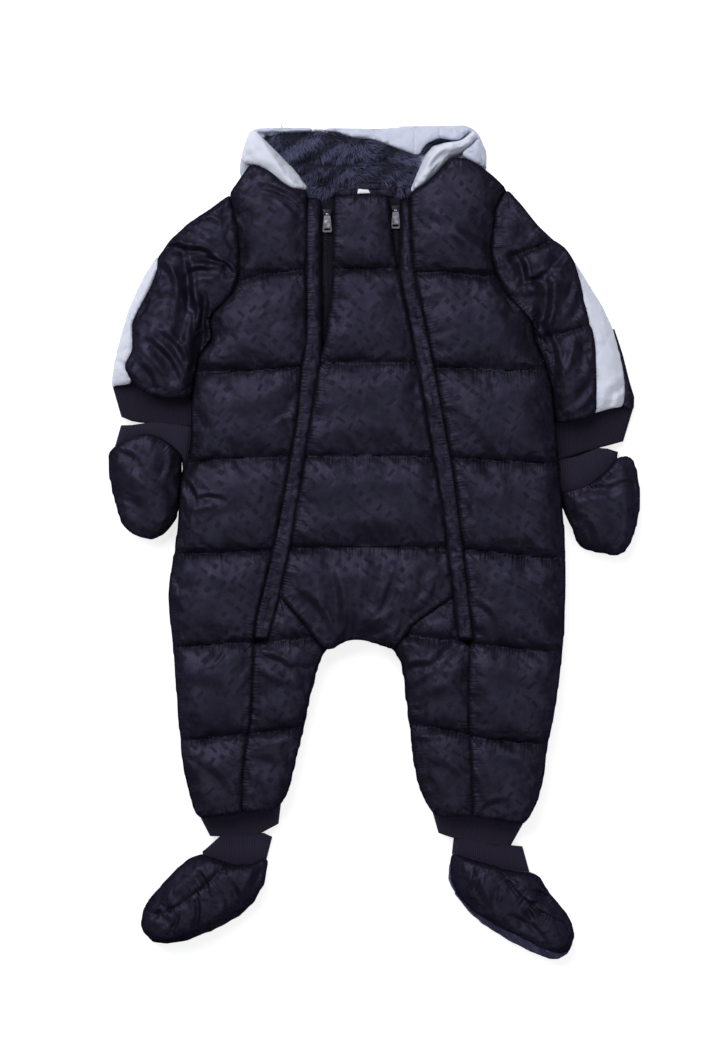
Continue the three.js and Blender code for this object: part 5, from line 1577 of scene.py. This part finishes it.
class SNOWSUIT_OT_sleeves(bpy.types.Operator):
    """Makes the sleeves with their contrast stripes"""
    bl_idname = "snowsuit.sleeves"
    bl_label = "Sleeves"

    def execute(self, context):
        cloth = context.scene.snowsuit_cloth
        for side, turn in (("left", 22), ("right", -22)):
            panels((f"sleeve_front_{side}",), cloth, level=False, turn=turn, cap=0.005, stretch=0.025,
                   full=0.45, deeper=1.3)
        panels(("sleeve_stripe_left", "sleeve_stripe_right"), cloth, "light_cloth", "grey_cloth", level=False,
               cap=0.003, pucker=0.5, stretch=0.01)
        panels(("sleeve_back_edge_right",), cloth, level=False, cap=0.001, pucker=0.4, voxel=0.0007)
        for name, turn in (("sleeve_back_left", 22), ("sleeve_back_right", -22)):
            seed = SEEDS["sleeve_back"] + turn
            under_piece(name, cloth, material_of("navy_satin"), "navy_satin", seed, turn)
        return {"FINISHED"}


class SNOWSUIT_OT_ribs(bpy.types.Operator):
    """Makes the ribbed cuffs of the wrists, ankles, mittens and bootees"""
    bl_idname = "snowsuit.ribs"
    bl_label = "Rib cuffs"

    def execute(self, context):
        cloth = context.scene.snowsuit_cloth
        turned = {"wrist_rib_left": -8, "wrist_rib_right": 13, "ankle_rib_left": 6, "ankle_rib_right": -7,
                  "mitten_rib_left": -5, "mitten_rib_right": 25, "bootee_rib_left": -3,
                  "bootee_rib_right": -11}
        for k, (name, turn) in enumerate(turned.items()):
            sewn_top = name.startswith(("wrist", "ankle"))
            # The wrists take a darker copy of the knit, painted shade from the sleeve and body
            kind = "wrist_knit" if name.startswith("wrist") else "rib_knit"
            beside_body = name.startswith(("wrist", "mitten"))
            body_side = (1 if name.endswith("left") else -1) if beside_body else 0
            rib_piece(name, cloth, material_of(kind), turn, SEEDS["rib"] + k, sewn_top, body_side)
        return {"FINISHED"}


class SNOWSUIT_OT_mittens(bpy.types.Operator):
    """Makes the mittens: padded backs and palms"""
    bl_idname = "snowsuit.mittens"
    bl_label = "Mittens"

    def execute(self, context):
        cloth = context.scene.snowsuit_cloth
        panels(("mitten_back_left", "mitten_back_right"), cloth, level=False, cap=0.005, turn=8)
        for k, side in enumerate(("left", "right")):
            under_piece(f"mitten_palm_{side}", cloth, material_of("navy_satin"), "navy_satin",
                        SEEDS["palm"] + k, voxel=SMALL_VOXEL)
        return {"FINISHED"}


class SNOWSUIT_OT_bootees(bpy.types.Operator):
    """Makes the bootees: padded uppers and soles"""
    bl_idname = "snowsuit.bootees"
    bl_label = "Bootees"

    def execute(self, context):
        cloth = context.scene.snowsuit_cloth
        for side, turn in (("left", 35), ("right", -35)):
            panels((f"bootee_upper_{side}",), cloth, level=False, cap=0.004, turn=turn, dip=0.22, channel=0.4,
                   voxel=SMALL_VOXEL)
        for k, side in enumerate(("left", "right")):
            kind = "sole_satin" if side == "right" else "navy_satin"
            under_piece(f"bootee_sole_{side}", cloth, material_of(kind), "navy_satin", SEEDS["sole"] + k,
                        voxel=SMALL_VOXEL)
        return {"FINISHED"}


class SNOWSUIT_OT_hood(bpy.types.Operator):
    """Makes the hood: shell, turned-up edge and folded bands, and the neck facing with its blank label"""
    bl_idname = "snowsuit.hood"
    bl_label = "Hood"

    def execute(self, context):
        cloth = context.scene.snowsuit_cloth
        panels(("hood_band_left", "hood_band_right"), cloth, "light_cloth", "grey_cloth", level=False,
               cap=0.003, pucker=0.45, stretch=0.012)
        panels(("hood_side_right", "hood_top"), cloth, "hood_cloth", "grey_cloth", level=False, cap=0.002,
               pucker=0.6, stretch=0.015, dip=0.22)
        under_piece("hood_shell", cloth, material_of("hood_cloth"), "grey_cloth", SEEDS["hood"],
                    dense_top=True)
        panels(("neck_facing",), cloth, level=False, cap=0.0015, pucker=0.9, stretch=0.02, voxel=0.0016,
               fill=0.2)
        mesh_label("neck_label", material_of("label"))
        return {"FINISHED"}


class SNOWSUIT_OT_fleece(bpy.types.Operator):
    """Grows the deep pile of the lining in the hood, round the neck and in the right mitten"""
    bl_idname = "snowsuit.fleece"
    bl_label = "Fleece"

    def execute(self, context):
        cloth = context.scene.snowsuit_cloth
        combs = {"hood_fleece": -75, "hood_fleece_right": 120, "neck_fleece": -88, "neck_fleece_left": -100,
                 "neck_fleece_right": -70, "mitten_fleece_right": 60}
        for k, (name, comb) in enumerate(combs.items()):
            fleece_piece(name, cloth, material_of("fleece"), comb, SEEDS["fleece"] + k)
        return {"FINISHED"}


class SNOWSUIT_OT_zips(bpy.types.Operator):
    """Makes the zips: woven tapes, closed coils, sliders and pull tabs"""
    bl_idname = "snowsuit.zips"
    bl_label = "Zips"

    def execute(self, context):
        sizes = context.scene.snowsuit_zip
        pins = {joint["child"]: joint["pos_m"] for joint in frame["joints"]}
        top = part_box("zip_tape_left")[1].z
        for k, side in enumerate(("left", "right")):
            tape_piece(f"zip_tape_{side}", material_of("zip_tape"), SEEDS["tape"] + k)
            zip_teeth(f"zip_coil_{side}", COIL_COURSES[side], top, sizes, material_of("zip_coil"))
            pin = pins[f"pull_{side}"]
            slider_piece(f"zip_slider_{side}", pin, sizes, material_of("slider_metal"))
            tab_piece(f"pull_tab_{side}", pin, sizes, material_of("zip_metal"), f"pull_{side}")
        return {"FINISHED"}


class SNOWSUIT_OT_stitches(bpy.types.Operator):
    """Sews the rows of stitches along the quilting lines and the zip flaps"""
    bl_idname = "snowsuit.stitches"
    bl_label = "Stitches"

    def execute(self, context):
        cloth = context.scene.snowsuit_cloth
        quilted = {name: lines for name, lines in QUILT.items() if not name.startswith("hood")}
        sewn = {**quilted, **TOPSTITCHED}
        rows = [(bpy.data.objects[name + "_cloth"], lines) for name, lines in sewn.items()]
        sew("quilting_stitches", rows, cloth, material_of("thread"), "navy_satin")
        hood = [(bpy.data.objects["hood_top_cloth"], QUILT["hood_top"])]
        sew("hood_stitches", hood, cloth, material_of("label"), "grey_cloth")
        return {"FINISHED"}


class SNOWSUIT_PT_panel(bpy.types.Panel):
    """Lists the steps and the sizes and colours that they use"""
    bl_idname = "SNOWSUIT_PT_panel"
    bl_label = "Padded Snowsuit"
    bl_space_type = "VIEW_3D"
    bl_region_type = "UI"
    bl_category = "Snowsuit"

    def draw(self, context):
        layout = self.layout
        for step in STEPS:
            layout.operator(step.bl_idname)
        for name in GROUPS:
            group = getattr(context.scene, name)
            box = layout.box()
            for key in group.bl_rna.properties.keys():
                if key not in ("rna_type", "name"):
                    box.prop(group, key)


STEPS = (SNOWSUIT_OT_studio, SNOWSUIT_OT_back, SNOWSUIT_OT_front, SNOWSUIT_OT_sleeves, SNOWSUIT_OT_ribs,
         SNOWSUIT_OT_mittens, SNOWSUIT_OT_bootees, SNOWSUIT_OT_hood, SNOWSUIT_OT_fleece, SNOWSUIT_OT_zips,
         SNOWSUIT_OT_stitches)
GROUPS = {"snowsuit_cloth": SnowsuitCloth, "snowsuit_zip": SnowsuitZip, "snowsuit_colours": SnowsuitColours,
          "snowsuit_studio": SnowsuitStudio}
CLASSES = (*GROUPS.values(), *STEPS, SNOWSUIT_PT_panel)


def register():
    for each in CLASSES:
        bpy.utils.register_class(each)
    for name, group in GROUPS.items():
        setattr(bpy.types.Scene, name, PointerProperty(type=group))


def unregister():
    for name in GROUPS:
        delattr(bpy.types.Scene, name)
    for each in reversed(CLASSES):
        bpy.utils.unregister_class(each)


def main():
    """Registers the add-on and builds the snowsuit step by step."""
    register()
    bpy.ops.snowsuit.studio()
    bpy.ops.snowsuit.back()
    bpy.ops.snowsuit.front()
    bpy.ops.snowsuit.sleeves()
    bpy.ops.snowsuit.ribs()
    bpy.ops.snowsuit.mittens()
    bpy.ops.snowsuit.bootees()
    bpy.ops.snowsuit.hood()
    bpy.ops.snowsuit.fleece()
    bpy.ops.snowsuit.zips()
    bpy.ops.snowsuit.stitches()


if __name__ == "__main__":
    main()
